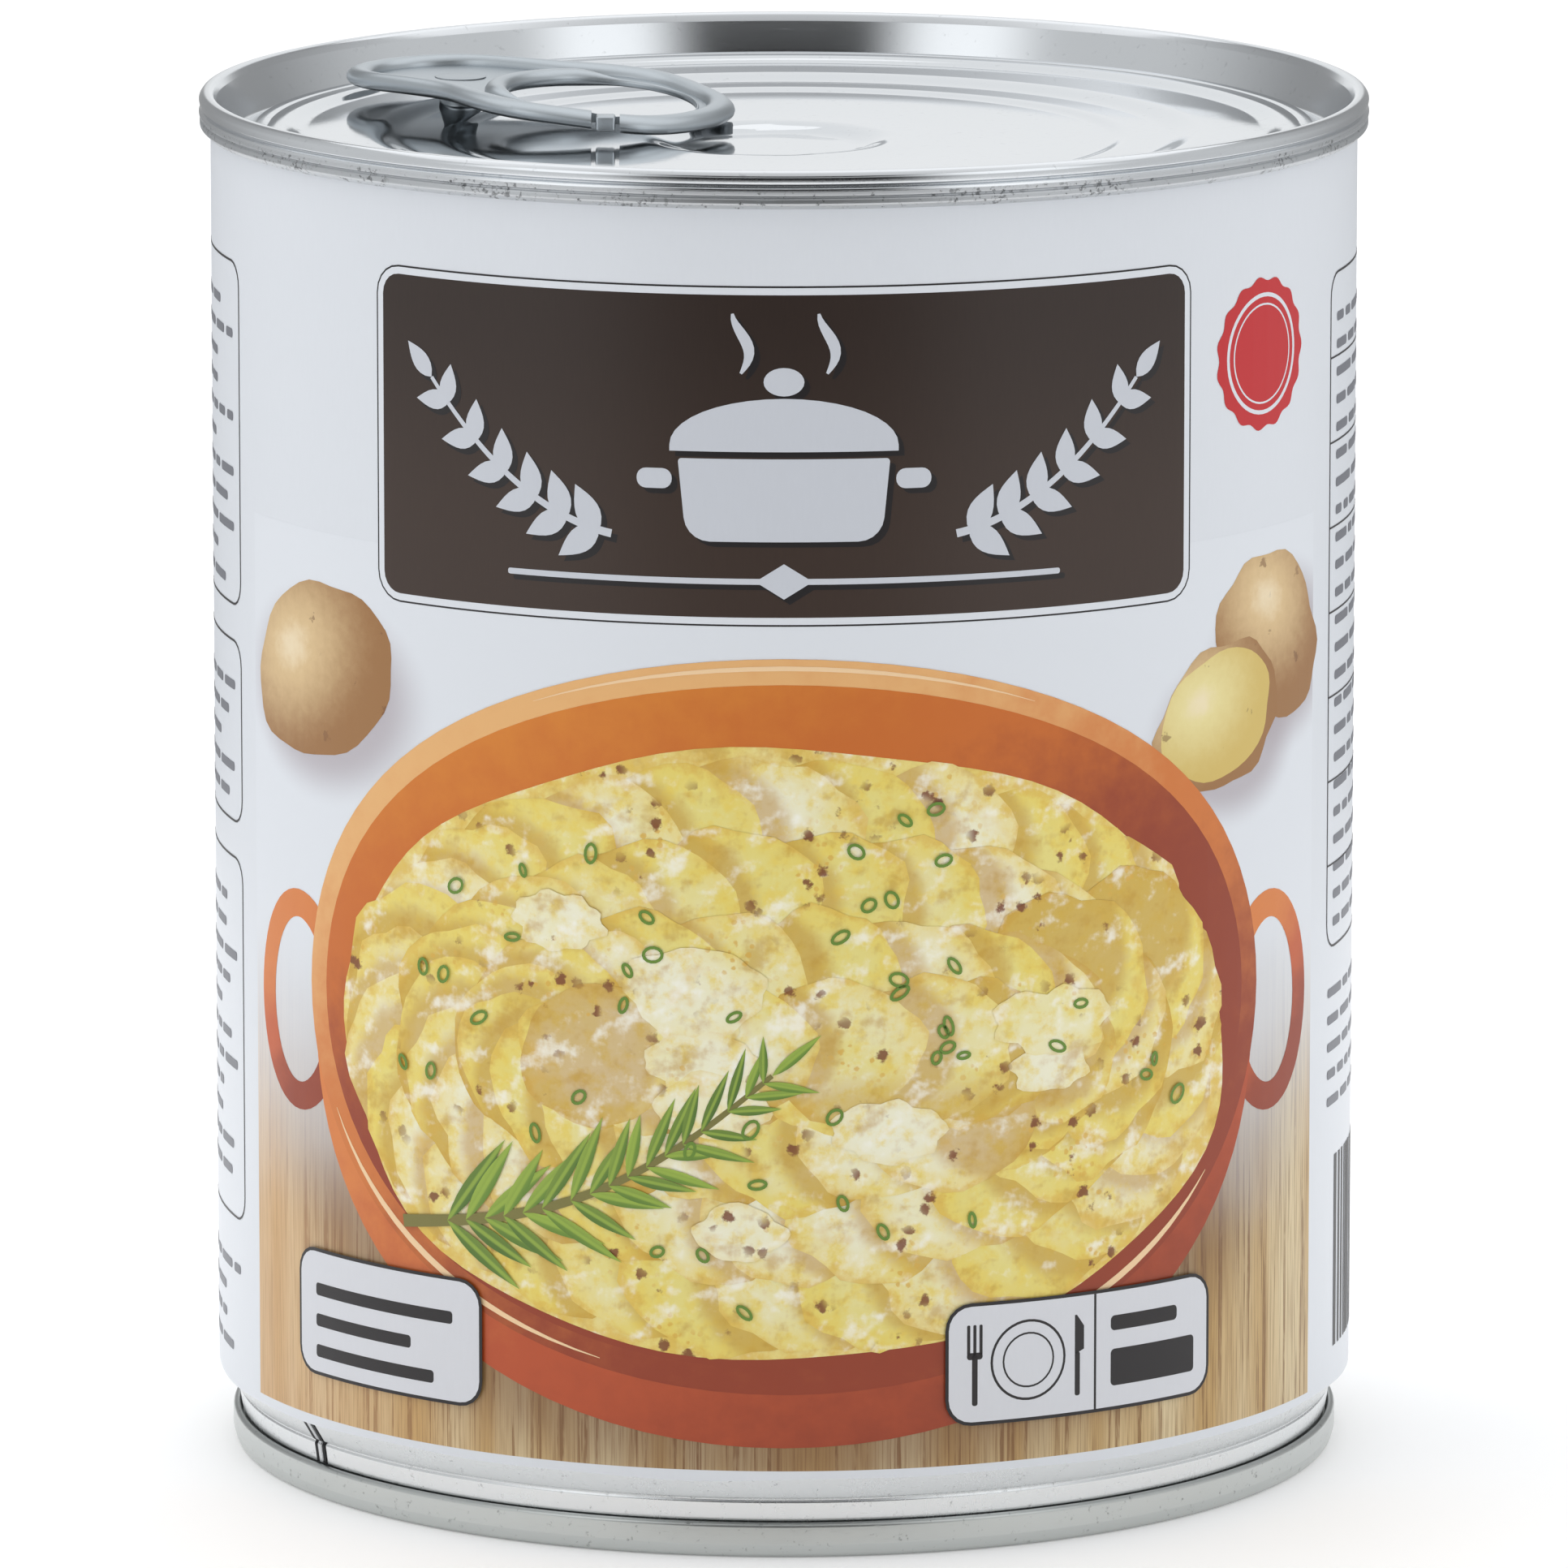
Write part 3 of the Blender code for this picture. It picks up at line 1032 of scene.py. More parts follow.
@dataclass
class Body:
    """The steel body, of which only the shoulder and the neck show, and its side weld."""

    corners: tuple[Corner, ...] = (
        (0.8, 5.6, 0.0),
        (46.4, 5.6, 0.3),
        (46.6, 2.5, 0.2),
        (47.3, 2.5, 0.1),
        (47.56, 3.15, 0.1),
        (47.80, 4.75, 0.25),
        (47.66, 4.98, 0.08),
        (47.95, 5.20, 0.15),
        (49.15, 7.15, 0.6),
        (49.35, 8.2, 0.6),
        (49.35, 115.9, 0.1),
        (49.25, 115.95, 0.1),
        (48.8, 115.9, 0.05),
        (48.8, 112.5, 0.1),
        (0.8, 112.5, 0.0),
    )
    weld_from: int = 4
    weld_to: int = 11
    weld_bearing: float = math.radians(-90.0 - 56.0)
    weld_radius: float = 48.5
    weld_width: float = 0.6
    dark_line_width: float = 0.46
    dark_line_shift: float = 0.58

    def strip(self, name: str, shift: float, width: float, lift: float) -> Piece:
        """Makes an upright strip that follows the body's own outline.

        Args:
            name: The strip's name.
            shift: How far its middle lies to the left of the weld's middle.
            width: Its width.
            lift: How far it stands off the body.

        Returns:
            The strip.
        """
        outline = rounded(self.corners[self.weld_from : self.weld_to])
        points = [(radius + lift, height) for radius, height in outline]
        points += [(radius - 0.3, height) for radius, height in reversed(outline)]
        adds = bpy.ops.mesh.primitive_circle_add
        piece = Bench.start(name, adds, vertices=len(points), radius=MM, fill_type="NGON")
        bearing = self.weld_bearing + (shift - width / 2.0) / self.weld_radius
        for vertex, (radius, height) in zip(piece.data.vertices, points):
            flat = (radius * math.cos(bearing) * MM, radius * math.sin(bearing) * MM)
            vertex.co = (*flat, height * MM)
        turn = width / self.weld_radius
        with Bench.editing():
            bpy.ops.mesh.spin(steps=4, angle=turn, center=(0.0, 0.0, 0.0), axis=(0.0, 0.0, 1.0))
        return Bench.close(piece)

    def build(self) -> None:
        """Makes and dresses the body and its weld, a bright strip between two burnt lines."""
        shell = Bench.turned("body_shell", rounded(self.corners))
        plain = Tinplate(
            "body tinplate", screen(224, 226, 227), roughness=0.16, spread=0.2, grain=Grain.UP,
            lines=1.0, scuffs=0.6, depth=0.008,
        )
        Bench.wear(shell, plain.material(), "can_body", "can_body")
        seam = Tinplate(
            "weld steel", screen(206, 208, 210), roughness=0.2, spread=0.15, grain=Grain.UP,
            lines=0.9, scuffs=0.5,
        )
        weld = self.strip("body_weld", 0.0, self.weld_width, 0.05)
        Bench.wear(weld, seam.material(), "can_body")
        dark_steel = Tinplate(
            "weld line", screen(40, 40, 42), roughness=0.4, spread=0.1, grain=Grain.UP,
            lines=0.9, scuffs=0.4,
        )
        finish = dark_steel.material()
        for side, shift in (("left", -self.dark_line_shift), ("right", self.dark_line_shift)):
            line = self.strip(f"body_weld_{side}", shift, self.dark_line_width, 0.06)
            Bench.wear(line, finish, "can_body")


@dataclass
class Foot:
    """The bottom end: double seam, countersink and a beaded panel."""

    panel: float = 3.5
    bead_radii: Point = (36.0, 24.0)
    bead_half_width: float = 1.8
    bead_depth: float = 0.5
    rim: tuple[Corner, ...] = (
        (43.4, 3.5, 0.4),
        (43.95, 4.55, 0.5),
        (45.55, 4.55, 0.6),
        (46.6, 0.0, 0.5),
        (48.0, 0.0, 0.7),
        (48.3, 1.2, 0.5),
        (48.28, 2.95, 0.4),
        (47.75, 3.12, 0.2),
        (47.50, 2.5, 0.1),
        (47.45, 2.3, 0.0),
        (46.3, 2.3, 0.1),
        (45.9, 4.9, 0.2),
        (0.8, 4.9, 0.0),
    )

    def profile(self) -> list[Point]:
        """Gives the end's section, from the middle of its underside to the middle of its top.

        Returns:
            (radius, height) points.
        """
        points: list[Point] = []
        for tenths in range(8, 430, 6):
            radius = tenths / 10.0
            depth = 0.0
            for bead in self.bead_radii:
                away = abs(radius - bead) / self.bead_half_width
                if away < 1.0:
                    depth += self.bead_depth * (0.5 + 0.5 * math.cos(math.pi * away))
            points.append((radius, self.panel - depth))
        return points + rounded(self.rim)

    def build(self) -> None:
        """Makes and dresses the bottom end."""
        end = Bench.turned("bottom_shell", self.profile())
        satin = Tinplate(
            "bottom tinplate", screen(196, 199, 197), roughness=0.24, spread=0.2, grain=Grain.ACROSS,
            lines=0.6, scuffs=0.8,
        )
        Bench.wear(end, satin.material(), "bottom_end", "bottom_end")


@dataclass(frozen=True)
class Print:
    """One plain ink on coated paper."""

    name: str
    colour: Colour
    roughness: float = 0.40
    unevenness: float = 0.06

    def paint(self, draw: NodeSketch, place: Socket) -> Socket:
        """Gives the ink's colour over the print.

        Args:
            draw: The sketch of the material.
            place: The place on the print.

        Returns:
            The colour.
        """
        tint = draw.effect(Effects.paper_skin(), Place=place).outputs["Tint"]
        dark = tuple(value * (1.0 - self.unevenness) for value in self.colour)
        return draw.mix(tint, self.colour, dark)

    def material(self) -> bpy.types.Material:
        """Builds the material: the painted colour with the paper's fine relief.

        Returns:
            The material.
        """
        material, draw, shader = new_material(self.name)
        place = draw.layer()
        height = draw.effect(Effects.paper_skin(), Place=place).outputs["Height"]
        relief = draw.bump(height, 0.12, 0.02 * MM)
        draw.named(shader, Base_Color=self.paint(draw, place), Roughness=self.roughness, Normal=relief)
        return material


@dataclass(frozen=True)
class TitlePrint(Print):
    """The dark ink of the title panel, a little deeper towards its top."""

    deep: Colour = screen(34, 20, 14)

    def paint(self, draw: NodeSketch, place: Socket) -> Socket:
        """Gives the ink's colour over the panel.

        Args:
            draw: The sketch of the material.
            place: The place on the print.

        Returns:
            The colour.
        """
        height = draw.parts(place)[1]
        grain = draw.noise(draw.place(place, scale=(5.0, 0.4, 1.0)), 1.0, 3.0, 0.7)
        share = draw.total(draw.rise(height, 86.0, 108.0, 0.0, 0.55), draw.times(grain, 0.25))
        return draw.mix(share, self.colour, self.deep)


@dataclass(frozen=True)
class BoardPrint(Print):
    """Bamboo board: fine upright streaks that fade to bare paper, with soft shadows on it."""

    streak: Colour = screen(132, 92, 46)
    pale: Colour = screen(224, 204, 162)
    warm: Colour = screen(216, 164, 112)
    shadow: Colour = screen(104, 62, 34)
    haze: Colour = screen(176, 166, 172)

    def paint(self, draw: NodeSketch, place: Socket) -> Socket:
        """Gives the ink's colour over the board and the paper above it.

        Args:
            draw: The sketch of the material.
            place: The place on the print.

        Returns:
            The colour.
        """
        across, up, _ = draw.parts(place)
        broad = draw.noise(draw.place(place, scale=(0.16, 0.010, 1.0)), 1.0, 2.0)
        fine = draw.noise(draw.place(place, scale=(1.9, 0.030, 1.0)), 1.0, 3.0, 0.6)
        hair = draw.noise(draw.place(place, scale=(4.6, 0.10, 1.0)), 1.0, 3.0, 0.6)
        dots = draw.noise(draw.place(place, scale=(2.6, 0.30, 1.0)), 1.0, 2.0, 0.7)
        line = draw.times(draw.rise(fine, 0.53, 0.62), draw.rise(dots, 0.30, 0.52, 0.25, 1.0))
        dish = Dish()
        under = (dish.half_width + 4.5, dish.half_height + 4.5)
        shade = self.near(draw, place, (0.0, dish.middle_height - 3.5), under, 0.90, 1.14)
        tone = draw.coats(
            self.colour,
            (draw.rise(broad, 0.35, 0.65), self.pale),
            (draw.rise(hair, 0.40, 0.70, 0.0, 0.5), self.streak),
            (draw.times(line, 0.8), self.streak),
            (draw.rise(across, -58.0, -14.0, 0.45, 0.0), self.warm),
            (draw.times(shade, 0.6), self.shadow),
        )
        wander = draw.times(draw.math("SUBTRACT", draw.noise(place, 0.05, 2.0), 0.5), 14.0)
        fade = draw.rise(draw.total(up, wander), 22.0, 52.0)
        paper = Sleeve.white
        for middle, size, _ in Garnish.tubers:
            spot = self.near(draw, place, (middle[0] + 1.0, middle[1] - 1.8), size, 0.75, 1.35)
            paper = draw.mix(draw.times(spot, 0.75), paper, self.haze)
        return draw.mix(fade, tone, paper)

    @staticmethod
    def near(
        draw: NodeSketch, place: Socket, middle: Point, size: Point, full: float, none: float
    ) -> Socket:
        """Gives a soft oval mask.

        Args:
            draw: The sketch.
            place: The place on the print.
            middle: The oval's middle.
            size: Its half width and half height.
            full: The share of the size up to which the mask is 1.
            none: The share of the size from which it is 0.

        Returns:
            The mask.
        """
        scale = (1.0 / size[0], 1.0 / size[1], 1.0)
        move = (-middle[0] * scale[0], -middle[1] * scale[1], 0.0)
        return draw.rise(draw.vector("LENGTH", draw.place(place, move, scale)), full, none, 1.0, 0.0)


@dataclass(frozen=True)
class GlazePrint(Print):
    """Glazed earthenware lit from the left: lighter and darker along the shape's own height."""

    light: Colour = screen(222, 130, 62)
    dark: Colour = screen(150, 58, 26)
    low: float = -1.0
    high: float = 1.0

    def paint(self, draw: NodeSketch, place: Socket) -> Socket:
        """Gives the glaze's colour over the shape.

        Args:
            draw: The sketch of the material.
            place: The place on the print.

        Returns:
            The colour.
        """
        across, up, _ = draw.parts(draw.layer("own"))
        bend = draw.math("SUBTRACT", up, draw.times(across, 0.55))
        mottle = draw.times(draw.math("SUBTRACT", draw.noise(place, 0.35, 3.0, 0.6), 0.5), 0.35)
        share = draw.total(draw.rise(bend, self.low, self.high), mottle)
        tone = draw.mix(draw.rise(share, 0.0, 0.5), self.dark, self.colour)
        return draw.mix(draw.rise(share, 0.5, 1.0), tone, self.light)


@dataclass(frozen=True)
class BakedPrint(Print):
    """Baked potato and melted cheese: cream and yellow lumps, golden edges and browned specks."""

    cream: Colour = screen(246, 243, 216)
    yellow: Colour = screen(238, 212, 92)
    golden: Colour = screen(222, 176, 70)
    brown: Colour = screen(122, 58, 30)
    shadow: Colour = screen(196, 148, 42)
    shine: Colour = screen(255, 254, 244)
    edges: float = 1.0

    def paint(self, draw: NodeSketch, place: Socket) -> Socket:
        """Gives the colour over the slices; their own X points to the slice that lies on them.

        Args:
            draw: The sketch of the material.
            place: The place on the print.

        Returns:
            The colour.
        """
        own = draw.layer("own")
        away = draw.vector("LENGTH", own)
        broad = draw.noise(place, 0.13, 3.0, 0.55)
        fine = draw.noise(place, 0.55, 4.0, 0.6)
        wobble = draw.times(draw.math("SUBTRACT", fine, 0.5), 0.55)
        share = draw.total(draw.times(broad, 0.7), draw.times(draw.mark("tone"), 0.45))
        reach = draw.total(away, wobble)
        cover = draw.mark("cover")
        covered = draw.math("GREATER_THAN", cover, 0.05)
        gap = draw.vector("LENGTH", draw.vector("SUBTRACT", own, draw.pair(cover, 0.0)))
        shade = draw.rise(draw.total(gap, draw.times(wobble, 0.35)), 1.0, 1.22, 0.62, 0.0)
        inward = draw.rise(draw.parts(own)[1], 0.20, 0.75, 0.0, 0.45)
        shade = draw.times(draw.math("MAXIMUM", shade, inward), covered)
        patches = draw.total(draw.noise(place, 0.20, 3.0, 0.6), draw.times(wobble, 0.2))
        relief = Effects.pictured_relief()
        big = draw.effect(relief, Place=place, Scale=0.17, Detail=4.0, Reach=1.3).outputs["Light"]
        small = draw.effect(relief, Place=place, Scale=0.75, Detail=3.0, Reach=0.35).outputs["Light"]
        lit = draw.total(draw.times(big, 2.2), draw.times(small, 0.7))
        specks = Effects.specks()
        crumbs = draw.effect(specks, Place=place, Scale=1.05, Size=0.30, Share=0.46).outputs["Mask"]
        crisp = draw.effect(specks, Place=place, Scale=0.42, Size=0.26, Share=0.52).outputs["Mask"]
        return draw.coats(
            self.cream,
            (draw.rise(share, 0.36, 0.74), self.colour),
            (draw.rise(fine, 0.46, 0.70, 0.0, 0.7), self.yellow),
            (draw.rise(reach, 0.55, 0.95, 0.0, 0.6 * self.edges), self.yellow),
            (draw.rise(reach, 0.90, 1.04, 0.0, 0.5 * self.edges), self.golden),
            (shade, self.shadow),
            (draw.rise(patches, 0.57, 0.72, 0.0, 0.4), self.golden),
            (draw.rise(lit, 0.05, 0.50, 0.0, 0.75), self.shine),
            (draw.rise(lit, -0.05, -0.50, 0.0, 0.55), self.shadow),
            (draw.times(crumbs, 0.75), self.golden),
            (draw.times(crisp, 0.9), self.brown),
        )


@dataclass(frozen=True)
class LeafPrint(Print):
    """A herb needle: light and dark halves and a pale midrib. Its own X runs from stalk to tip."""

    light: Colour = screen(160, 186, 72)
    dark: Colour = screen(70, 104, 38)

    def paint(self, draw: NodeSketch, place: Socket) -> Socket:
        """Gives the ink's colour over the needle.

        Args:
            draw: The sketch of the material.
            place: The place on the print.

        Returns:
            The colour.
        """
        across = draw.parts(draw.layer("own"))[1]
        half = draw.rise(across, -0.30, 0.30)
        deep = draw.times(draw.mark("tone"), 0.8)
        rib = draw.rise(draw.math("ABSOLUTE", across), 0.03, 0.12, 0.7, 0.0)
        return draw.coats(self.colour, (half, self.light), (deep, self.dark), (rib, self.light))


@dataclass(frozen=True)
class TuberPrint(Print):
    """A potato, whole or cut: paler where the light falls and darker round its edge."""

    edge: Colour = screen(160, 114, 66)
    shine: Colour = screen(248, 232, 200)
    eye: Colour = screen(120, 78, 44)

    def paint(self, draw: NodeSketch, place: Socket) -> Socket:
        """Gives the ink's colour over the potato.

        Args:
            draw: The sketch of the material.
            place: The place on the print.

        Returns:
            The colour.
        """
        lit = draw.vector("LENGTH", draw.vector("ADD", draw.layer("own"), (0.30, -0.38, 0.0)))
        grain = draw.times(draw.math("SUBTRACT", draw.noise(place, 0.9, 4.0, 0.6), 0.5), 0.35)
        share = draw.total(lit, grain)
        base = draw.mix(draw.rise(share, 0.15, 1.25), self.colour, self.edge)
        eyes = draw.effect(Effects.specks(), Place=place, Scale=0.30, Size=0.16, Share=0.75)
        base = draw.mix(draw.times(eyes.outputs["Mask"], 0.6), base, self.eye)
        return draw.mix(draw.rise(share, 0.36, 0.0, 0.0, 0.7), base, self.shine)


@dataclass
class Shape:
    """One flat outline of print, and what its material may read of it."""

    points: list[Point]
    lift: float
    own: list[Point]
    tone: float = 0.5
    cover: float = 0.0
    line: float = 0.0


@dataclass
class Ink:
    """A field of print: flat shapes of one material, cut into strips and wrapped round the can."""

    name: str
    finish: Print
    lift: float
    film: float = 0.006
    shapes: list[Shape] = field(default_factory=list)

    def shape(
        self,
        own: Sequence[Point],
        middle: Point = (0.0, 0.0),
        size: Point = (1.0, 1.0),
        turn: float = 0.0,
        raised: float = 0.0,
        **marks: float,
    ) -> None:
        """Adds one flat shape.

        Args:
            own: Its outline, anticlockwise, in its own units.
            middle: Where its own middle lies on the print.
            size: How long its own units are across and up.
            turn: How far it is turned, in radians.
            raised: How far it lies above the rest of this ink.
            marks: Its tone, cover and line.
        """
        cos, sin = math.cos(turn), math.sin(turn)
        points: list[Point] = []
        for across, up in own:
            wide, high = across * size[0], up * size[1]
            points.append((middle[0] + wide * cos - high * sin, middle[1] + wide * sin + high * cos))
        self.shapes.append(Shape(points, self.lift + raised, list(own), **marks))

    def oval(self, middle: Point, size: Point, sides: int = 64, **more: float) -> None:
        """Adds an ellipse, or with a line its outline."""
        self.shape([(math.cos(t), math.sin(t)) for t in full_turn(sides)], middle, size, **more)

    def panel(self, low: Point, high: Point, corner: float, **more: float) -> None:
        """Adds a rectangle with rounded corners, or with a line its outline.

        Args:
            low: Its lower left corner.
            high: Its upper right corner.
            corner: The radius of its corners.
            more: What else the shape is given.
        """
        half = ((high[0] - low[0]) / 2.0, (high[1] - low[1]) / 2.0)
        middle = ((high[0] + low[0]) / 2.0, (high[1] + low[1]) / 2.0)
        signs = ((-1.0, -1.0), (1.0, -1.0), (1.0, 1.0), (-1.0, 1.0))
        points = rounded([(x * half[0], y * half[1], corner) for x, y in signs], closed=True)
        self.shape([(x / half[0], y / half[1]) for x, y in points], middle, half, **more)

    def band(self, points: Sequence[Point], widths: Sequence[float], **more: float) -> None:
        """Adds a curved band along points.

        Args:
            points: The points of its middle line.
            widths: Its width at each.
            more: What else the shape is given.
        """
        left: list[Point] = []
        right: list[Point] = []
        for index, (here, width) in enumerate(zip(points, widths)):
            ahead = points[min(index + 1, len(points) - 1)]
            back = points[max(index - 1, 0)]
            step = Vector(ahead) - Vector(back)
            side = Vector((-step.y, step.x)).normalized() * width / 2.0
            left.append((here[0] + side.x, here[1] + side.y))
            right.append((here[0] - side.x, here[1] - side.y))
        self.shape(right + left[::-1], **more)

    def draw_flat(self) -> Piece:
        """Adds a filled circle for each shape and moves its corners to the shape's outline.

        Returns:
            The flat print.
        """
        adds = bpy.ops.mesh.primitive_circle_add
        count = len(self.shapes[0].points)
        piece = Bench.start(self.name, adds, vertices=count, fill_type="NGON", calc_uvs=False)
        with Bench.editing():
            for shape in self.shapes[1:]:
                adds(vertices=len(shape.points), fill_type="NGON", calc_uvs=False)
        mesh = piece.data
        corners = [(shape, index) for shape in self.shapes for index in range(len(shape.points))]
        for vertex, (shape, index) in zip(mesh.vertices, corners):
            across, up = shape.points[index]
            vertex.co = (across, -shape.lift, up)
        for name in ("tone", "cover", "line"):
            mesh.attributes.new(name, "FLOAT", "POINT")
            for item, (shape, _) in zip(mesh.attributes[name].data, corners):
                item.value = getattr(shape, name)
        own = mesh.uv_layers.new(name="own")
        for loop in mesh.loops:
            shape, index = corners[loop.vertex_index]
            own.data[loop.index].uv = shape.own[index]
        return piece

    def hollow(self, piece: Piece) -> None:
        """Turns the shapes that have a line into outlines: an inset whose middle is deleted.

        Args:
            piece: The flat print, whose points carry the width of their shape's line.
        """
        bpy.context.tool_settings.mesh_select_mode = (False, False, True)
        for line in sorted({shape.line for shape in self.shapes} - {0.0}):
            mesh = piece.data
            widths = mesh.attributes["line"].data
            for polygon in mesh.polygons:
                polygon.select = abs(widths[polygon.vertices[0]].value - line) < 1e-5
            bpy.ops.object.mode_set(mode="EDIT")
            bpy.ops.mesh.inset(thickness=line, depth=0.0, use_individual=True)
            bpy.ops.mesh.delete(type="FACE")
            bpy.ops.object.mode_set(mode="OBJECT")

    def finish_piece(self) -> None:
        """Draws the shapes, cuts them into strips, wraps them and dresses the piece."""
        piece = self.draw_flat()
        places = [vertex.co.x / Sleeve.strip for vertex in piece.data.vertices]
        self.hollow(piece)
        with Bench.editing():
            for cut in range(math.ceil(min(places)), math.floor(max(places)) + 1):
                bpy.ops.mesh.select_all(action="SELECT")
                middle = (cut * Sleeve.strip, 0.0, 0.0)
                bpy.ops.mesh.bisect(plane_co=middle, plane_no=(1.0, 0.0, 0.0), threshold=1e-5)
        Sleeve.wrap(piece, self.film)
        Bench.wear(piece, self.finish.material(), "paper_label")


@dataclass
class Dish:
    """The pictured baking dish: an oval of glazed earthenware with two handles, full of gratin."""

    half_width: float = 47.0
    half_height: float = 31.5
    middle_height: float = 46.0
    rim: float = 2.2
    belly_drop: float = 4.2
    handle_distance: float = 49.0
    handle_drop: float = 2.0
    handle_size: Point = (6.6, 9.6)
    handle_thickness: float = 2.4
    # Each line of light on the rim as (its start, its end, its width), the ends in degrees
    glints: tuple[Triple, ...] = ((200.0, 250.0, 0.6), (292.0, 330.0, 0.6), (62.0, 118.0, 0.4))
    filling_width: float = 42.4
    filling_height: float = 26.2
    filling_middle: float = 43.4
    slice_size: Point = (9.0, 7.6)
    ring_pitch: float = 6.0
    rings: int = 4
    crusts: int = 9

    def ware(self) -> None:
        """Prints the dish itself: handles, outside, rim, inside and the light on its glaze."""
        middle = (0.0, self.middle_height)
        wide, high = self.half_width, self.half_height
        handle = GlazePrint("glaze handles", screen(200, 92, 42))
        wall = GlazePrint("glaze outside", screen(188, 80, 38), low=-1.6, high=0.6)
        lit_edge, lit_inside = screen(236, 182, 118), screen(222, 134, 40)
        edge = GlazePrint("glaze rim", screen(214, 122, 54), light=lit_edge, low=-1.1, high=1.3)
        inner = GlazePrint("glaze inside", screen(206, 108, 30), light=lit_inside, low=-0.2, high=1.6)
        handles = Ink("print_handles", handle, lift=0.03)
        outside = Ink("print_dish", wall, lift=0.04)
        rim = Ink("print_dish_rim", edge, lift=0.05)
        inside = Ink("print_dish_inside", inner, lift=0.06)
        for side in (-1.0, 1.0):
            place = (side * self.handle_distance, self.middle_height - self.handle_drop)
            handles.oval(place, self.handle_size, 48, line=self.handle_thickness)
        outside.oval((0.0, self.middle_height - self.belly_drop), (wide - 0.8, high + 0.4), 96)
        rim.oval(middle, (wide, high), 96)
        inside.oval(middle, (wide - self.rim, high - self.rim), 96)
        for ink in (handles, outside, rim, inside):
            ink.finish_piece()
        shine = Ink("print_glaze_shine", Print("glaze shine", screen(250, 214, 168)), lift=0.068)
        for start, end, width in self.glints:
            self.glint(shine, start, end, width)
        shine.finish_piece()

    def glint(self, shine: Ink, start: float, end: float, width: float) -> None:
        """Draws a line of light along the rim.

        Args:
            shine: The ink of the light.
            start: The bearing in degrees where it starts.
            end: The bearing where it ends.
            width: Its width in its middle.
        """
        steps = 16
        wide, high = self.half_width - 0.8, self.half_height - 0.8
        bearings = [math.radians(between(start, end, k / steps)) for k in range(steps + 1)]
        points = [(wide * math.cos(b), self.middle_height + high * math.sin(b)) for b in bearings]
        shine.band(points, [width * math.sin(math.pi * (k + 0.5) / (steps + 1)) for k in range(steps + 1)])

    @staticmethod
    def lump(dice: random.Random, sides: int = 30, wild: float = 1.0) -> list[Point]:
        """Gives an uneven round outline, about one own unit in radius.

        Args:
            dice: Where its unevenness is drawn from.
            sides: How many points it has.
            wild: How uneven it is.

        Returns:
            The outline.
        """
        counts = (2, 3, 4, 6, 9)
        waves = [(n, wild * dice.uniform(0.008, 0.045), dice.uniform(0.0, math.tau)) for n in counts]
        points: list[Point] = []
        for bearing in full_turn(sides):
            reach = 1.0 + sum(size * math.sin(count * bearing + start) for count, size, start in waves)
            points.append((reach * math.cos(bearing), reach * math.sin(bearing)))
        return points

    def lay_ring(self, slices: Ink, dice: random.Random, ring: int) -> None:
        """Lays one oval ring of slices, each half over the one before it.

        Args:
            slices: The ink of the slices.
            dice: Where their unevenness is drawn from.
            ring: The ring's number, 0 for the outermost.
        """
        size = between(*self.slice_size, ring / (self.rings - 1.0))
        inset = 0.84 * self.slice_size[0] + ring * self.ring_pitch
        wide = self.filling_width - inset
        high = max(0.8, self.filling_height - inset)
        around = max(5, round(math.pi * (wide + high) / (size * 0.62)))
        start = dice.uniform(0.0, math.tau)
        for turn in full_turn(around):
            bearing = start + turn
            across = wide * math.cos(bearing) + dice.uniform(-0.3, 0.3)
            up = self.filling_middle + high * math.sin(bearing) + dice.uniform(-0.3, 0.3)
            heading = math.atan2(high * math.cos(bearing), -wide * math.sin(bearing))
            step = math.hypot(wide * math.sin(bearing), high * math.cos(bearing)) * math.tau / around
            grown = size * dice.uniform(0.94, 1.04)
            slices.shape(
                self.lump(dice),
                (across, up),
                (grown * 0.95, grown * 0.80),
                heading,
                raised=0.0012 * len(slices.shapes),
                tone=dice.random(),
                cover=max(0.1, step / grown),
            )

    def spot(self, dice: random.Random, least: float, most: float) -> Point:
        """Draws a place on the gratin.

        Args:
            dice: Where it is drawn from.
            least: The share of the gratin's area that lies nearer its middle, at least.
            most: The same share, at most.

        Returns:
            The place on the print.
        """
        bearing = dice.uniform(0.0, math.tau)
        reach = math.sqrt(dice.uniform(least, most))
        across = self.filling_width * reach * math.cos(bearing)
        return (across, self.filling_middle + self.filling_height * reach * math.sin(bearing))

    def filling(self) -> None:
        """Prints the gratin: a base, rings of slices from the outside in, and lumps of crust."""
        dice = random.Random(11)
        middle = (0.0, self.filling_middle)
        size = (self.filling_width, self.filling_height)
        base = Ink("print_gratin", BakedPrint("gratin", screen(234, 221, 140)), lift=0.074)
        base.shape(self.lump(dice, 90, 0.3), middle, size)
        base.finish_piece()
        potato = BakedPrint("gratin slices", screen(236, 222, 132))
        slices = Ink("print_slices", potato, lift=0.08, film=0.004)
        for ring in range(self.rings):
            self.lay_ring(slices, dice, ring)
        LOG.info("the gratin has %d slices", len(slices.shapes))
        slices.finish_piece()
        cheese = BakedPrint("gratin crust", screen(238, 226, 146), edges=0.35)
        crust = Ink("print_crust", cheese, lift=0.22, film=0.004)
        for number in range(self.crusts):
            place = self.spot(dice, 0.0, 0.5)
            grown = dice.uniform(3.5, 6.5)
            tone = 0.6 * dice.random()
            lump = self.lump(dice, 36, 1.8)
            crust.shape(lump, place, (grown, grown * 0.6), raised=0.001 * number, tone=tone)
        crust.finish_piece()


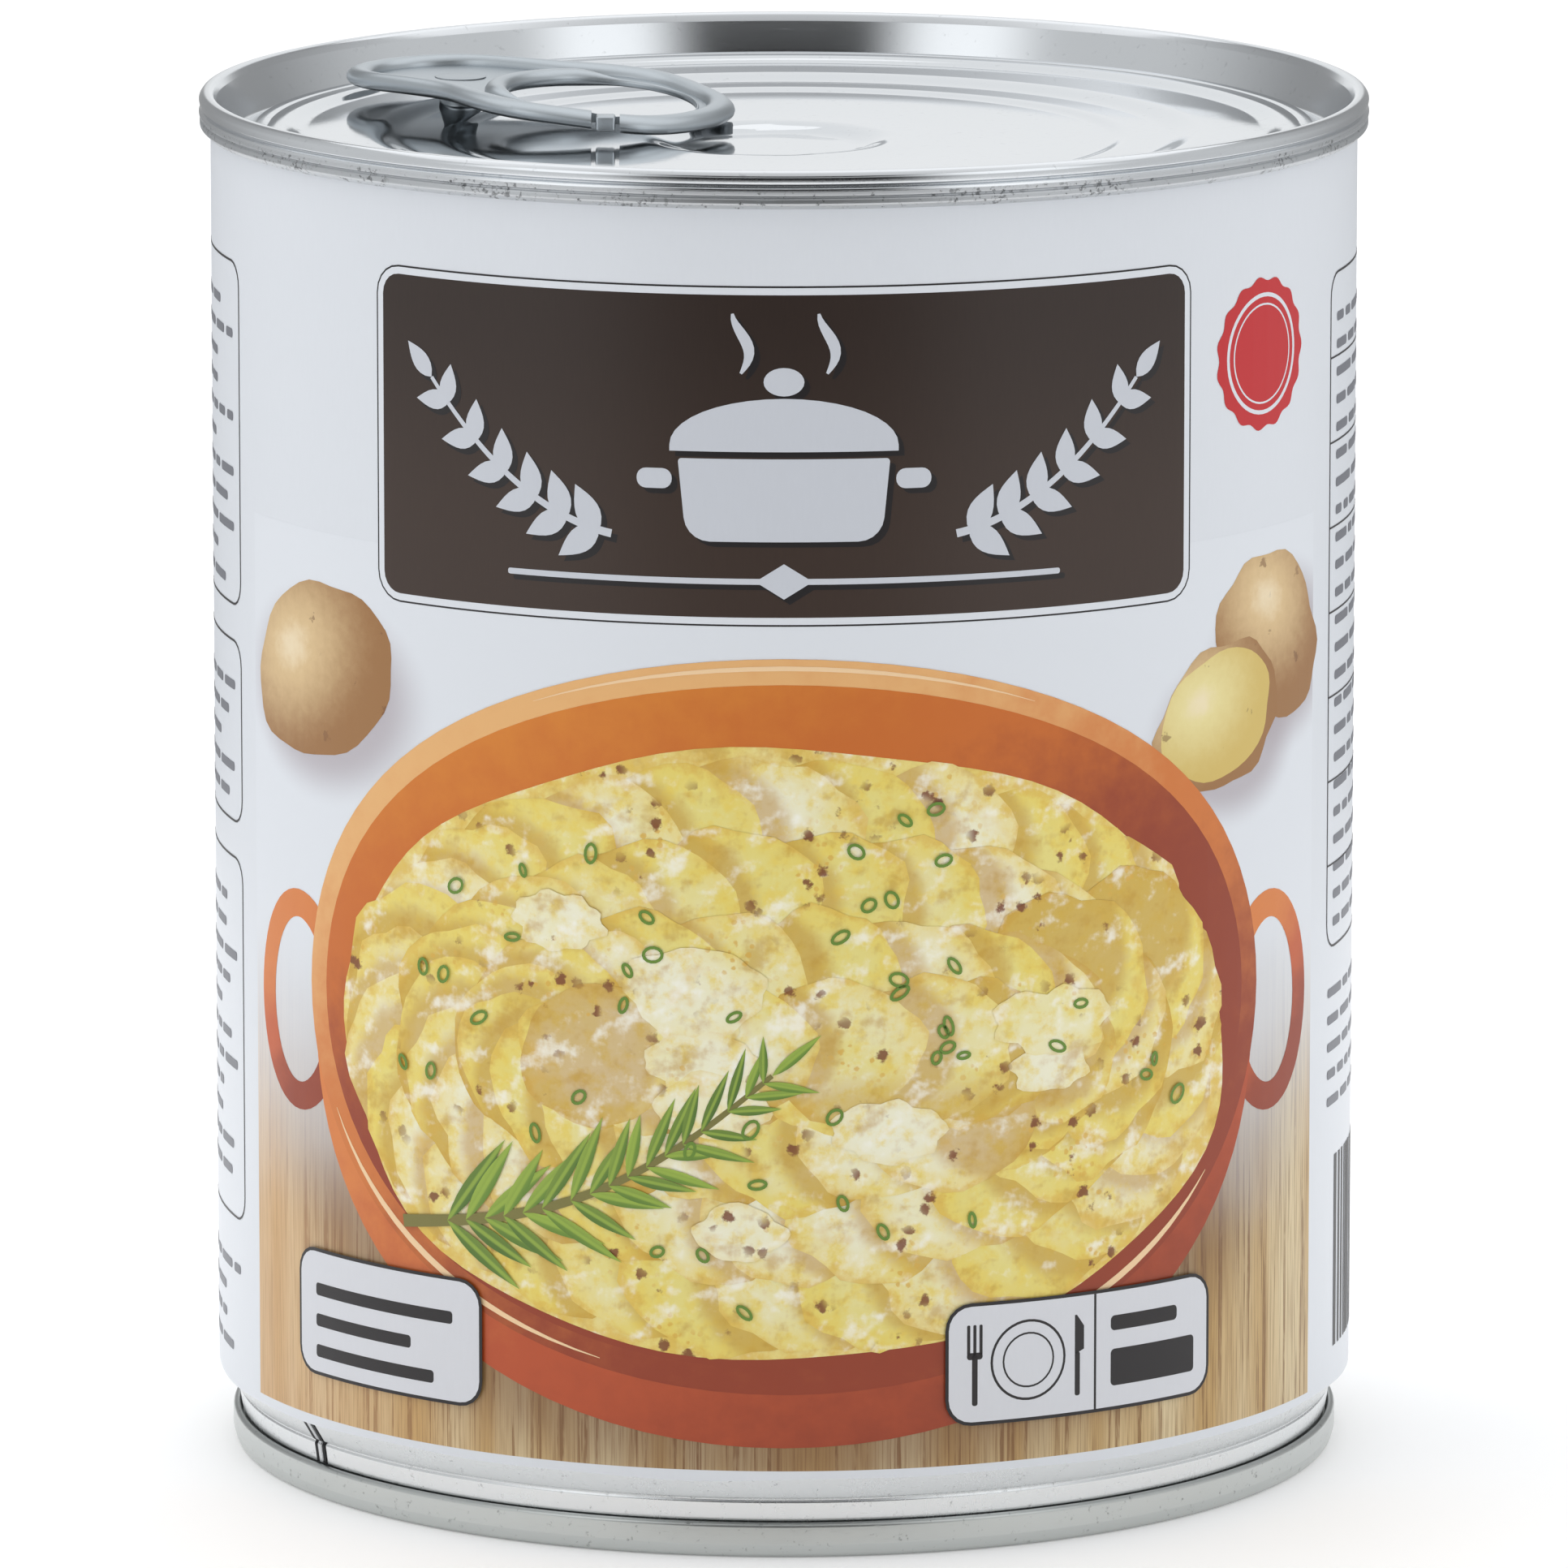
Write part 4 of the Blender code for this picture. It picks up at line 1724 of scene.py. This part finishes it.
@dataclass
class Garnish:
    """The pictured trimmings: a sprig of needles and chives on the gratin, potatoes beside it."""

    # Each potato as (its middle, its half width and half height, its turn)
    tubers: tuple[tuple[Point, Point, float], ...] = (
        ((-46.0, 73.0), (10.2, 7.4), 0.35),
        ((49.5, 75.5), (8.6, 6.8), -0.45),
        ((42.0, 69.5), (8.2, 6.2), 0.25),
    )
    stem_start: Point = (-35.0, 27.0)
    stem_end: Point = (-1.0, 42.0)
    stem_bend: float = -3.5
    pairs: int = 17
    needle_lengths: Point = (9.4, 4.6)
    chive_count: int = 46

    @staticmethod
    def leaf(steps: int = 8) -> list[Point]:
        """Gives a pointed oval outline, its own X from stalk 0 to tip 1."""
        upper = [(k / steps, 0.30 * math.sin(math.pi * (k / steps) ** 0.80)) for k in range(1, steps)]
        return [(0.0, 0.0)] + [(x, -y) for x, y in upper] + [(1.0, 0.0)] + upper[::-1]

    def sprig(self) -> None:
        """Prints a bent stem with pairs of narrow needles that grow shorter towards its tip."""
        dice = random.Random(5)
        stem = Ink("print_stem", Print("herb stem", screen(128, 122, 62)), lift=0.236)
        needle = LeafPrint("herb needle", screen(104, 140, 48))
        leaves = Ink("print_needles", needle, lift=0.242, film=0.003)
        start, end = Vector(self.stem_start), Vector(self.stem_end)
        side = Vector((-(end - start).y, (end - start).x)).normalized() * self.stem_bend
        steps = 40
        shares = [k / steps for k in range(steps + 1)]
        path = [start.lerp(end, share) + side * math.sin(math.pi * share) for share in shares]
        stem.band([tuple(p) for p in path], [between(1.1, 0.4, share) for share in shares])
        for pair in range(self.pairs):
            share = between(0.12, 0.97, pair / (self.pairs - 1.0))
            index = round(share * steps)
            heading = path[min(index + 1, steps)] - path[index - 1]
            bearing = math.atan2(heading.y, heading.x)
            length = between(*self.needle_lengths, share)
            for hand in (-1.0, 1.0):
                leaves.shape(
                    self.leaf(),
                    tuple(path[index]),
                    (length * dice.uniform(0.84, 1.10), length * 0.27),
                    bearing + hand * math.radians(dice.uniform(28.0, 50.0)),
                    raised=0.001 * (2 * pair + (hand > 0.0)),
                    tone=dice.uniform(0.0, 1.0),
                )
        leaves.shape(self.leaf(), tuple(path[-1]), (5.4, 1.5), bearing, raised=0.036, tone=0.1)
        stem.finish_piece()
        leaves.finish_piece()

    def chives(self) -> None:
        """Prints chopped chives scattered over the gratin: small bright rings."""
        dice = random.Random(31)
        dish = Dish()
        green = Print("chive green", screen(112, 150, 52), unevenness=0.3)
        rings = Ink("print_chives", green, lift=0.286)
        for _ in range(self.chive_count):
            middle = dish.spot(dice, 0.02, 0.80)
            wide = dice.uniform(0.65, 1.0)
            high = wide * dice.uniform(0.5, 0.8)
            rings.oval(middle, (wide, high), 14, turn=dice.uniform(0.0, 3.0), line=0.26)
        rings.finish_piece()

    def potatoes(self) -> None:
        """Prints whole potatoes and a cut one behind the dish."""
        dice = random.Random(3)
        skin = Ink("print_tubers", TuberPrint("potato skin", screen(226, 196, 146)), lift=0.022)
        flesh_finish = TuberPrint("potato flesh", screen(238, 224, 158), edge=screen(216, 188, 104))
        flesh = Ink("print_tuber_cut", flesh_finish, lift=0.032)
        for number, (middle, size, turn) in enumerate(self.tubers):
            skin.shape(Dish.lump(dice, 40, 0.8), middle, size, turn, raised=0.003 * number)
        middle, size, turn = self.tubers[-1]
        cut = (size[0] * 0.90, size[1] * 0.86)
        flesh.shape(Dish.lump(dice, 40, 0.5), (middle[0] - 0.3, middle[1] + 0.2), cut, turn)
        skin.finish_piece()
        flesh.finish_piece()


@dataclass
class Wording:
    """The places of the label's words: a title panel with a crest, badges, boxes and grey bars."""

    black: Colour = screen(30, 26, 28)
    grey: Colour = screen(118, 120, 128)
    silver: Colour = screen(208, 212, 220)
    title_box: Box = ((-37.0, 81.0), (37.0, 108.2))
    title_corner: float = 1.8
    crest_middle: float = 92.4
    crest_shade: Point = (0.5, -0.45)
    rule_half_width: float = 24.0
    rule_drop: float = 8.35
    setting_badge: Box = ((14.0, 11.6), (40.0, 21.6))
    word_badge: Box = ((-48.5, 12.0), (-27.0, 22.5))
    badge_corner: float = 2.0
    badge_line: float = 0.3
    seal_middle: Point = (47.5, 100.0)
    seal_radius: float = 6.4
    seal_scallops: int = 15
    table_box: Box = ((61.0, 46.0), (103.0, 105.0))
    table_rows: int = 8
    word_boxes: tuple[Box, ...] = (
        ((-99.0, 76.0), (-60.5, 106.0)),
        ((-99.0, 57.0), (-60.5, 73.0)),
        ((-99.0, 22.0), (-60.5, 54.0)),
        table_box,
        ((-148.0, 20.0), (-108.0, 104.0)),
    )
    open_words: tuple[Box, ...] = (((61.5, 31.0), (101.0, 43.5)), ((-96.0, 10.0), (-62.0, 19.0)))
    bar_block: Box = ((64.0, 10.5), (92.0, 27.5))
    word_height: float = 0.8
    word_gap: float = 0.9
    shortest_word: float = 0.8
    row_pitch: float = 2.4

    def title(self) -> None:
        """Prints the dark title panel with its outlines, and a crest with its dark edge."""
        brown = TitlePrint("title brown", screen(62, 46, 37), unevenness=0.2)
        edge = Ink("print_title_line", Print("black line", self.black), lift=0.03)
        gap = Ink("print_title_edge", Print("white edge", Sleeve.white), lift=0.036)
        panel = Ink("print_title", brown, lift=0.042)
        for ink, rim in ((edge, 0.75), (gap, 0.6), (panel, 0.0)):
            ink.panel(*widened(self.title_box, rim), self.title_corner + rim)
        shade = Ink("print_crest_shade", Print("crest shade", self.black), lift=0.048)
        crest = Ink("print_crest", Print("crest silver", self.silver), lift=0.070)
        self.crest(shade, self.crest_shade)
        self.crest(crest, (0.0, 0.0))
        for ink in (edge, gap, panel, shade, crest):
            ink.finish_piece()

    def crest(self, ink: Ink, shift: Point) -> None:
        """Draws a covered pot between two sprays of leaves, over a rule with a diamond.

        Args:
            ink: The ink it is drawn with.
            shift: How far it is moved.
        """
        across, up = shift[0], self.crest_middle + shift[1]
        sides = ((-8.2, -5.0, 2.2), (8.2, -5.0, 2.2), (8.9, 2.0, 0.3), (-8.9, 2.0, 0.3))
        ink.shape(rounded(sides, closed=True), (across, up))
        turns = [math.pi * k / 20.0 for k in range(21)]
        lid = [(9.6 * math.cos(turn), 4.0 * math.sin(turn)) for turn in turns]
        ink.shape([(9.6, -0.5)] + lid + [(-9.6, -0.5)], (across, up + 3.1))
        ink.oval((across, up + 8.5), (1.7, 1.2), 24, raised=0.001)
        for hand in (-1.0, 1.0):
            ears = sorted((across + hand * 9.4, across + hand * 12.4))
            ink.panel((ears[0], up - 0.6), (ears[1], up + 1.1), 0.8)
            steps = range(13)
            steam = [(across + hand * 3.6 + 0.7 * math.sin(k / 2.6), up + 9.2 + 0.42 * k) for k in steps]
            ink.band(steam[::-1], [0.85 * math.sin(math.pi * (k + 0.7) / 13.4) + 0.1 for k in steps])
            self.spray(ink, hand, (across, up))
        rule = up - self.rule_drop
        half = self.rule_half_width
        ink.panel((across - half, rule - 0.25), (across + half, rule + 0.25), 0.2)
        diamond = [(2.4, 0.0), (0.0, 1.5), (-2.4, 0.0), (0.0, -1.5)]
        ink.shape(diamond, (across, rule), raised=0.001)

    def spray(self, ink: Ink, hand: float, middle: Point) -> None:
        """Draws one spray of leaves beside the pot.

        Args:
            ink: The ink it is drawn with.
            hand: 1 for the right side and -1 for the left.
            middle: The pot's middle.
        """
        steps = 30
        path: list[Vector] = []
        for k in range(steps + 1):
            share = k / steps
            rise = -4.6 + 3.0 * share + 9.0 * share**2
            path.append(Vector((middle[0] + hand * (14.6 + 17.0 * share), middle[1] + rise)))
        ink.band([tuple(p) for p in path], [between(0.7, 0.35, k / steps) for k in range(steps + 1)])
        for k in range(2, steps, 5):
            heading = path[k + 1] - path[k - 1]
            bearing = math.atan2(heading.y, heading.x)
            length = between(4.6, 3.4, k / steps)
            size = (length, length * 0.8)
            for fold in (-1.0, 1.0):
                turn = bearing + fold * math.radians(50.0)
                start = path[k] - heading.normalized().orthogonal() * fold * 0.3
                ink.shape(Garnish.leaf(), tuple(start), size, turn, raised=0.0004 * (k + fold))
        ink.shape(Garnish.leaf(), tuple(path[-1]), (3.8, 2.8), bearing, raised=0.0125)

    def badges(self) -> None:
        """Prints two pale badges, one with a place setting and one with bars for words."""
        line = Ink("print_badge_line", Print("badge line", self.black), lift=0.294)
        pale = Ink("print_badge", Print("badge ground", screen(222, 224, 230)), lift=0.302)
        marks = Ink("print_badge_marks", Print("badge marks", self.black), lift=0.310)
        for box in (self.setting_badge, self.word_badge):
            line.panel(*widened(box, self.badge_line), self.badge_corner + self.badge_line)
            pale.panel(*box, self.badge_corner)
        self.setting(marks)
        left, top = self.word_badge[0][0] + 2.3, self.word_badge[1][1] - 2.7
        for row, width in enumerate((16.5, 12.0, 14.5)):
            up = top - 2.7 * row
            marks.panel((left, up - 1.1), (left + width, up), 0.3)
        for ink in (line, pale, marks):
            ink.finish_piece()

    def setting(self, marks: Ink) -> None:
        """Draws a plate between a fork and a knife, a dividing line and two bars for words.

        Args:
            marks: The ink it is drawn with.
        """
        plate, fork, knife, divide = (21.2, 16.6), 16.3, 25.6, 27.5
        marks.oval(plate, (3.5, 3.5), 40, line=0.22)
        marks.oval(plate, (2.4, 2.4), 32, line=0.16)
        marks.panel((fork - 0.25, 13.0), (fork + 0.25, 17.4), 0.2)
        marks.panel((fork - 0.7, 17.0), (fork + 0.7, 17.6), 0.25)
        for tine in (-0.55, 0.0, 0.55):
            marks.panel((fork + tine - 0.14, 17.4), (fork + tine + 0.14, 20.0), 0.1)
        marks.panel((knife, 13.0), (knife + 0.5, 16.8), 0.2)
        blade = [(0.0, 0.0), (0.9, 0.4), (0.9, 2.4), (0.2, 3.4), (0.0, 3.4)]
        marks.shape(blade, (knife, 16.6))
        (_, low), (_, high) = self.setting_badge
        marks.panel((divide, low), (divide + 0.22, high), 0.0)
        for width, low, high in ((7.2, 18.2, 19.5), (9.2, 13.4, 16.6)):
            marks.panel((divide + 1.7, low), (divide + 1.7 + width, high), 0.4)

    def seal(self) -> None:
        """Prints a plain red seal with a scalloped edge and two white rings."""
        red = Ink("print_seal", Print("seal red", screen(202, 34, 40)), lift=0.03)
        edge = [(1.0 + 0.03 * math.cos(self.seal_scallops * turn), turn) for turn in full_turn(120)]
        scallops = [(reach * math.cos(turn), reach * math.sin(turn)) for reach, turn in edge]
        red.shape(scallops, self.seal_middle, (self.seal_radius,) * 2)
        red.finish_piece()
        rings = Ink("print_seal_ring", Print("seal white", Sleeve.white), lift=0.036)
        for radius, line in ((5.2, 0.35), (4.3, 0.16)):
            rings.oval(self.seal_middle, (radius, radius), 48, line=line)
        rings.finish_piece()

    def boxes(self) -> None:
        """Prints the side panels: thin boxes with grey bars for lines of words, and a block of bars."""
        dice = random.Random(23)
        lines = Ink("print_box_lines", Print("box line", self.black), lift=0.03)
        bars = Ink("print_word_bars", Print("word grey", self.grey), lift=0.03)
        for low, high in self.word_boxes:
            lines.panel(low, high, 2.2, line=0.2)
            self.words(bars, dice, (low[0] + 2.0, low[1] + 2.2), (high[0] - 2.0, high[1] - 2.6))
        (left, bottom), (right, top) = self.table_box
        for row in range(1, self.table_rows):
            up = between(bottom, top, row / self.table_rows)
            lines.panel((left, up - 0.08), (right, up + 0.08), 0.0)
        for low, high in self.open_words:
            self.words(bars, dice, low, high)
        block = Ink("print_bar_block", Print("bar black", self.black), lift=0.03)
        (place, bottom), (end, top) = self.bar_block
        while place < end:
            width = dice.choice((0.33, 0.33, 0.66, 0.99))
            block.panel((place, bottom), (place + width, top), 0.0)
            place += width + dice.choice((0.33, 0.66, 0.66))
        for ink in (lines, bars, block):
            ink.finish_piece()

    def words(self, bars: Ink, dice: random.Random, low: Point, high: Point) -> None:
        """Fills a box with rows of short bars, as words are spread over lines.

        Args:
            bars: The ink of the bars.
            dice: Where their lengths are drawn from.
            low: The box's lower left corner.
            high: Its upper right corner.
        """
        up = high[1] - 1.0
        while up > low[1]:
            across = low[0]
            end = high[0] - dice.uniform(0.0, 0.25) * (high[0] - low[0])
            while across < end:
                width = min(dice.uniform(1.8, 6.0), high[0] - across)
                if width > self.shortest_word:
                    bars.panel((across, up - self.word_height), (across + width, up), 0.3)
                across += width + self.word_gap
            up -= self.row_pitch


@dataclass
class Sleeve:
    """The paper sleeve round the can and all that is printed on it."""

    radius: float = 49.5
    paper: float = 0.12
    low: float = 7.1
    high: float = 115.4
    strip: float = 2.0
    rows: int = 12
    overlap: float = 6.9
    # Where the sheet's last end rises over its first, as distances before the closed round
    lap_start: float = 3.6
    lap_end: float = 0.6
    picture: float = 57.0
    picture_low: float = 7.9
    picture_high: float = 85.0
    white: Colour = screen(228, 232, 238)

    @classmethod
    def wrapped(cls, arc: float, height: float, lift: float) -> Vector:
        """Gives the place on the sleeve, a ring of flat strips, of a point of the flat print.

        Args:
            arc: The distance along the sleeve from the middle of its front.
            height: The height above the foot.
            lift: How far the point stands off the paper.

        Returns:
            The place, in metres.
        """
        step = math.floor(arc / cls.strip)
        turns = [k * cls.strip / cls.radius for k in (step, step + 1)]
        first, second = (Vector((math.sin(turn), -math.cos(turn))) for turn in turns)
        flat = first.lerp(second, arc / cls.strip - step) * (cls.radius + lift) * MM
        return Vector((*flat, height * MM))

    @classmethod
    def wrap(cls, piece: Piece, thickness: float) -> None:
        """Keeps a flat piece's places as a UV map, wraps it round the can and makes it thick.

        Args:
            piece: The flat piece, X along the sleeve, Z up it and -Y off the paper, in millimetres.
            thickness: How thick it becomes.
        """
        mesh = piece.data
        flat = mesh.uv_layers.new(name="print")
        for loop in mesh.loops:
            place = mesh.vertices[loop.vertex_index].co
            flat.data[loop.index].uv = (place.x, place.z)
        for vertex in mesh.vertices:
            vertex.co = cls.wrapped(vertex.co.x, vertex.co.z, -vertex.co.y)
        Bench.apply(piece, "SOLIDIFY", thickness=thickness * MM, offset=-1.0)
        Bench.shade(piece)

    def sheet(self) -> None:
        """Rolls the sheet: a long flat grid whose last end lies over its first, glued at the back."""
        half = math.pi * self.radius
        start = -math.ceil(half / self.strip)
        columns = math.ceil((2.0 * half + self.overlap) / self.strip)
        piece = Bench.start(
            "label_sheet", bpy.ops.mesh.primitive_grid_add, x_subdivisions=columns,
            y_subdivisions=self.rows, size=1.0, calc_uvs=False,
        )
        for vertex in piece.data.vertices:
            arc = (start + round((vertex.co.x + 0.5) * columns)) * self.strip
            wave = 0.10 * math.sin(arc / 7.3) + 0.07 * math.sin(arc / 3.1 + 1.0)
            height = between(self.low + wave, self.high, vertex.co.y + 0.5)
            rise = smooth(arc, half - self.lap_start, half - self.lap_end)
            vertex.co = (arc, -rise * (self.paper + 0.02), height)
        self.wrap(piece, self.paper)
        paper = Print("coated paper", self.white, roughness=0.34, unevenness=0.05)
        Bench.wear(piece, paper.material(), "paper_label", "paper_label")

    def ground(self) -> None:
        """Prints the board that the pictured dish stands on."""
        board = Ink("print_board", BoardPrint("board", screen(198, 162, 102)), lift=0.01)
        board.panel((-self.picture, self.picture_low), (self.picture, self.picture_high), 0.0)
        board.finish_piece()

    def build(self) -> None:
        """Makes the sleeve and its print, from the lowest layer up."""
        self.sheet()
        self.ground()
        garnish, dish, wording = Garnish(), Dish(), Wording()
        garnish.potatoes()
        dish.ware()
        dish.filling()
        garnish.sprig()
        garnish.chives()
        wording.title()
        wording.badges()
        wording.seal()
        wording.boxes()


@dataclass
class Studio:
    """The stage: a pale floor, a white tent of light, a graded screen for gloss, and the camera."""

    camera_distance: float = 1.22015
    camera_height: float = 0.28810
    camera_pitch: float = math.radians(10.7)
    lens: float = 327.28
    floor_size: float = 8.0
    floor_glow: float = 0.18
    screen_radius: float = 0.30
    screen_height: float = 0.36
    lamp_place: tuple[float, float, float] = (-0.35, -0.1, 1.4)
    lamp_size: float = 1.2
    lamp_power: float = 3.0

    def camera(self) -> None:
        """Sets the camera that the photograph was fitted with."""
        bpy.ops.object.camera_add(
            location=(0.0, -self.camera_distance, self.camera_height),
            rotation=(math.pi / 2.0 - self.camera_pitch, 0.0, 0.0),
        )
        camera = bpy.context.object
        camera.data.lens = self.lens
        camera.data.sensor_width = 36.0
        bpy.context.scene.camera = camera

    def floor(self) -> None:
        """Lays the pale floor."""
        floor = Bench.start("studio_floor", bpy.ops.mesh.primitive_plane_add, size=self.floor_size)
        material, draw, shader = new_material("pale floor")
        grain = draw.noise(draw.objects(), 0.02, 2.0)
        tone = draw.mix(grain, (0.93, 0.93, 0.93), (0.95, 0.95, 0.95))
        draw.named(shader, Base_Color=tone, Roughness=0.7)
        draw.named(shader, Emission_Color=(1.0, 1.0, 1.0), Emission_Strength=self.floor_glow)
        floor.data.materials.append(material)

    def screen(self) -> None:
        """Stands a round screen about the can that only gloss can see, dark on the camera's side."""
        screen = Bench.start(
            "studio_screen", bpy.ops.mesh.primitive_cylinder_add, vertices=96,
            radius=self.screen_radius, depth=self.screen_height, end_fill_type="NOTHING",
            location=(0.0, 0.0, self.screen_height / 2.0),
        )
        Bench.shade(screen)
        material, draw, shader = new_material("graded light")
        # Bearings are in radians to either side of the camera, heights in millimetres
        across, away, up = draw.parts(draw.objects())
        bearing = draw.math("ABSOLUTE", draw.math("ARCTAN2", across, draw.times(away, -1.0)))
        # A bright strip stands on each side of the dark front, and the front has a grey band high up
        strips = draw.rise(up, 95.0, 140.0, 0.72, 1.25)
        front = draw.rise(bearing, 0.30, 0.66, 1.0, 0.0)
        gap = draw.times(draw.rise(up, 150.0, 175.0), draw.rise(up, 235.0, 262.0, 1.0, 0.0))
        level = draw.total(
            0.015,
            draw.times(front, gap, 0.42),
            draw.times(draw.rise(bearing, 0.30, 0.66), strips),
            draw.times(draw.rise(bearing, 0.84, 1.20), draw.math("SUBTRACT", 0.66, strips)),
            draw.rise(bearing, 1.60, 2.60, 0.0, -0.34),
            draw.rise(bearing, 2.78, 2.98, 0.0, 0.60),
        )
        draw.named(shader, Base_Color=(0.0, 0.0, 0.0), Specular_IOR_Level=0.0)
        draw.named(shader, Emission_Color=(0.975, 0.99, 1.0), Emission_Strength=level)
        material.cycles.emission_sampling = "NONE"
        screen.data.materials.append(material)
        screen.visible_camera = False
        screen.visible_diffuse = False
        screen.visible_shadow = False
        screen.visible_transmission = False

    def tent(self) -> None:
        """Fills the world with soft white light, greyer low down and on the camera's side."""
        world = bpy.data.worlds.new("white tent")
        bpy.context.scene.world = world
        world.use_nodes = True
        draw = NodeSketch(world.node_tree)
        shader = next(n for n in world.node_tree.nodes if n.type == "BACKGROUND")
        _, away, up = draw.parts(draw.add("ShaderNodeTexCoord").outputs["Generated"])
        glow = draw.times(draw.rise(up, -0.1, 0.6, 0.80, 1.10), draw.rise(away, -1.0, 0.3, 0.42, 1.10))
        seen = draw.add("ShaderNodeLightPath").outputs["Is Camera Ray"]
        level = draw.total(glow, draw.times(seen, draw.math("SUBTRACT", 1.0, glow)))
        draw.named(shader, Color=(0.985, 0.992, 1.0), Strength=level)

    def lamp(self) -> None:
        """Hangs one large soft lamp high on the left, which gloss doesn't mirror."""
        bpy.ops.object.light_add(type="AREA", location=self.lamp_place)
        lamp = bpy.context.object
        lamp.name = lamp.data.name = "soft lamp"
        lamp.data.size = self.lamp_size
        lamp.data.energy = self.lamp_power
        aim = Vector((0.0, 0.0, 0.06)) - Vector(self.lamp_place)
        lamp.rotation_euler = aim.to_track_quat("-Z", "Y").to_euler()
        lamp.visible_glossy = False

    def build(self) -> None:
        """Sets the whole stage."""
        self.camera()
        self.floor()
        self.screen()
        self.tent()
        self.lamp()
        bpy.context.scene.view_settings.view_transform = "Standard"


def main() -> None:
    """Builds every sub-assembly in order and writes the two boxes."""
    logging.basicConfig(level=logging.INFO, format="%(name)s %(message)s")
    for assembly in (Body(), Sleeve(), Foot(), Lid(), Tab(), Studio()):
        LOG.info("building: %s", type(assembly).__doc__.split(".")[0])
        assembly.build()


if __name__ == "__main__":
    main()
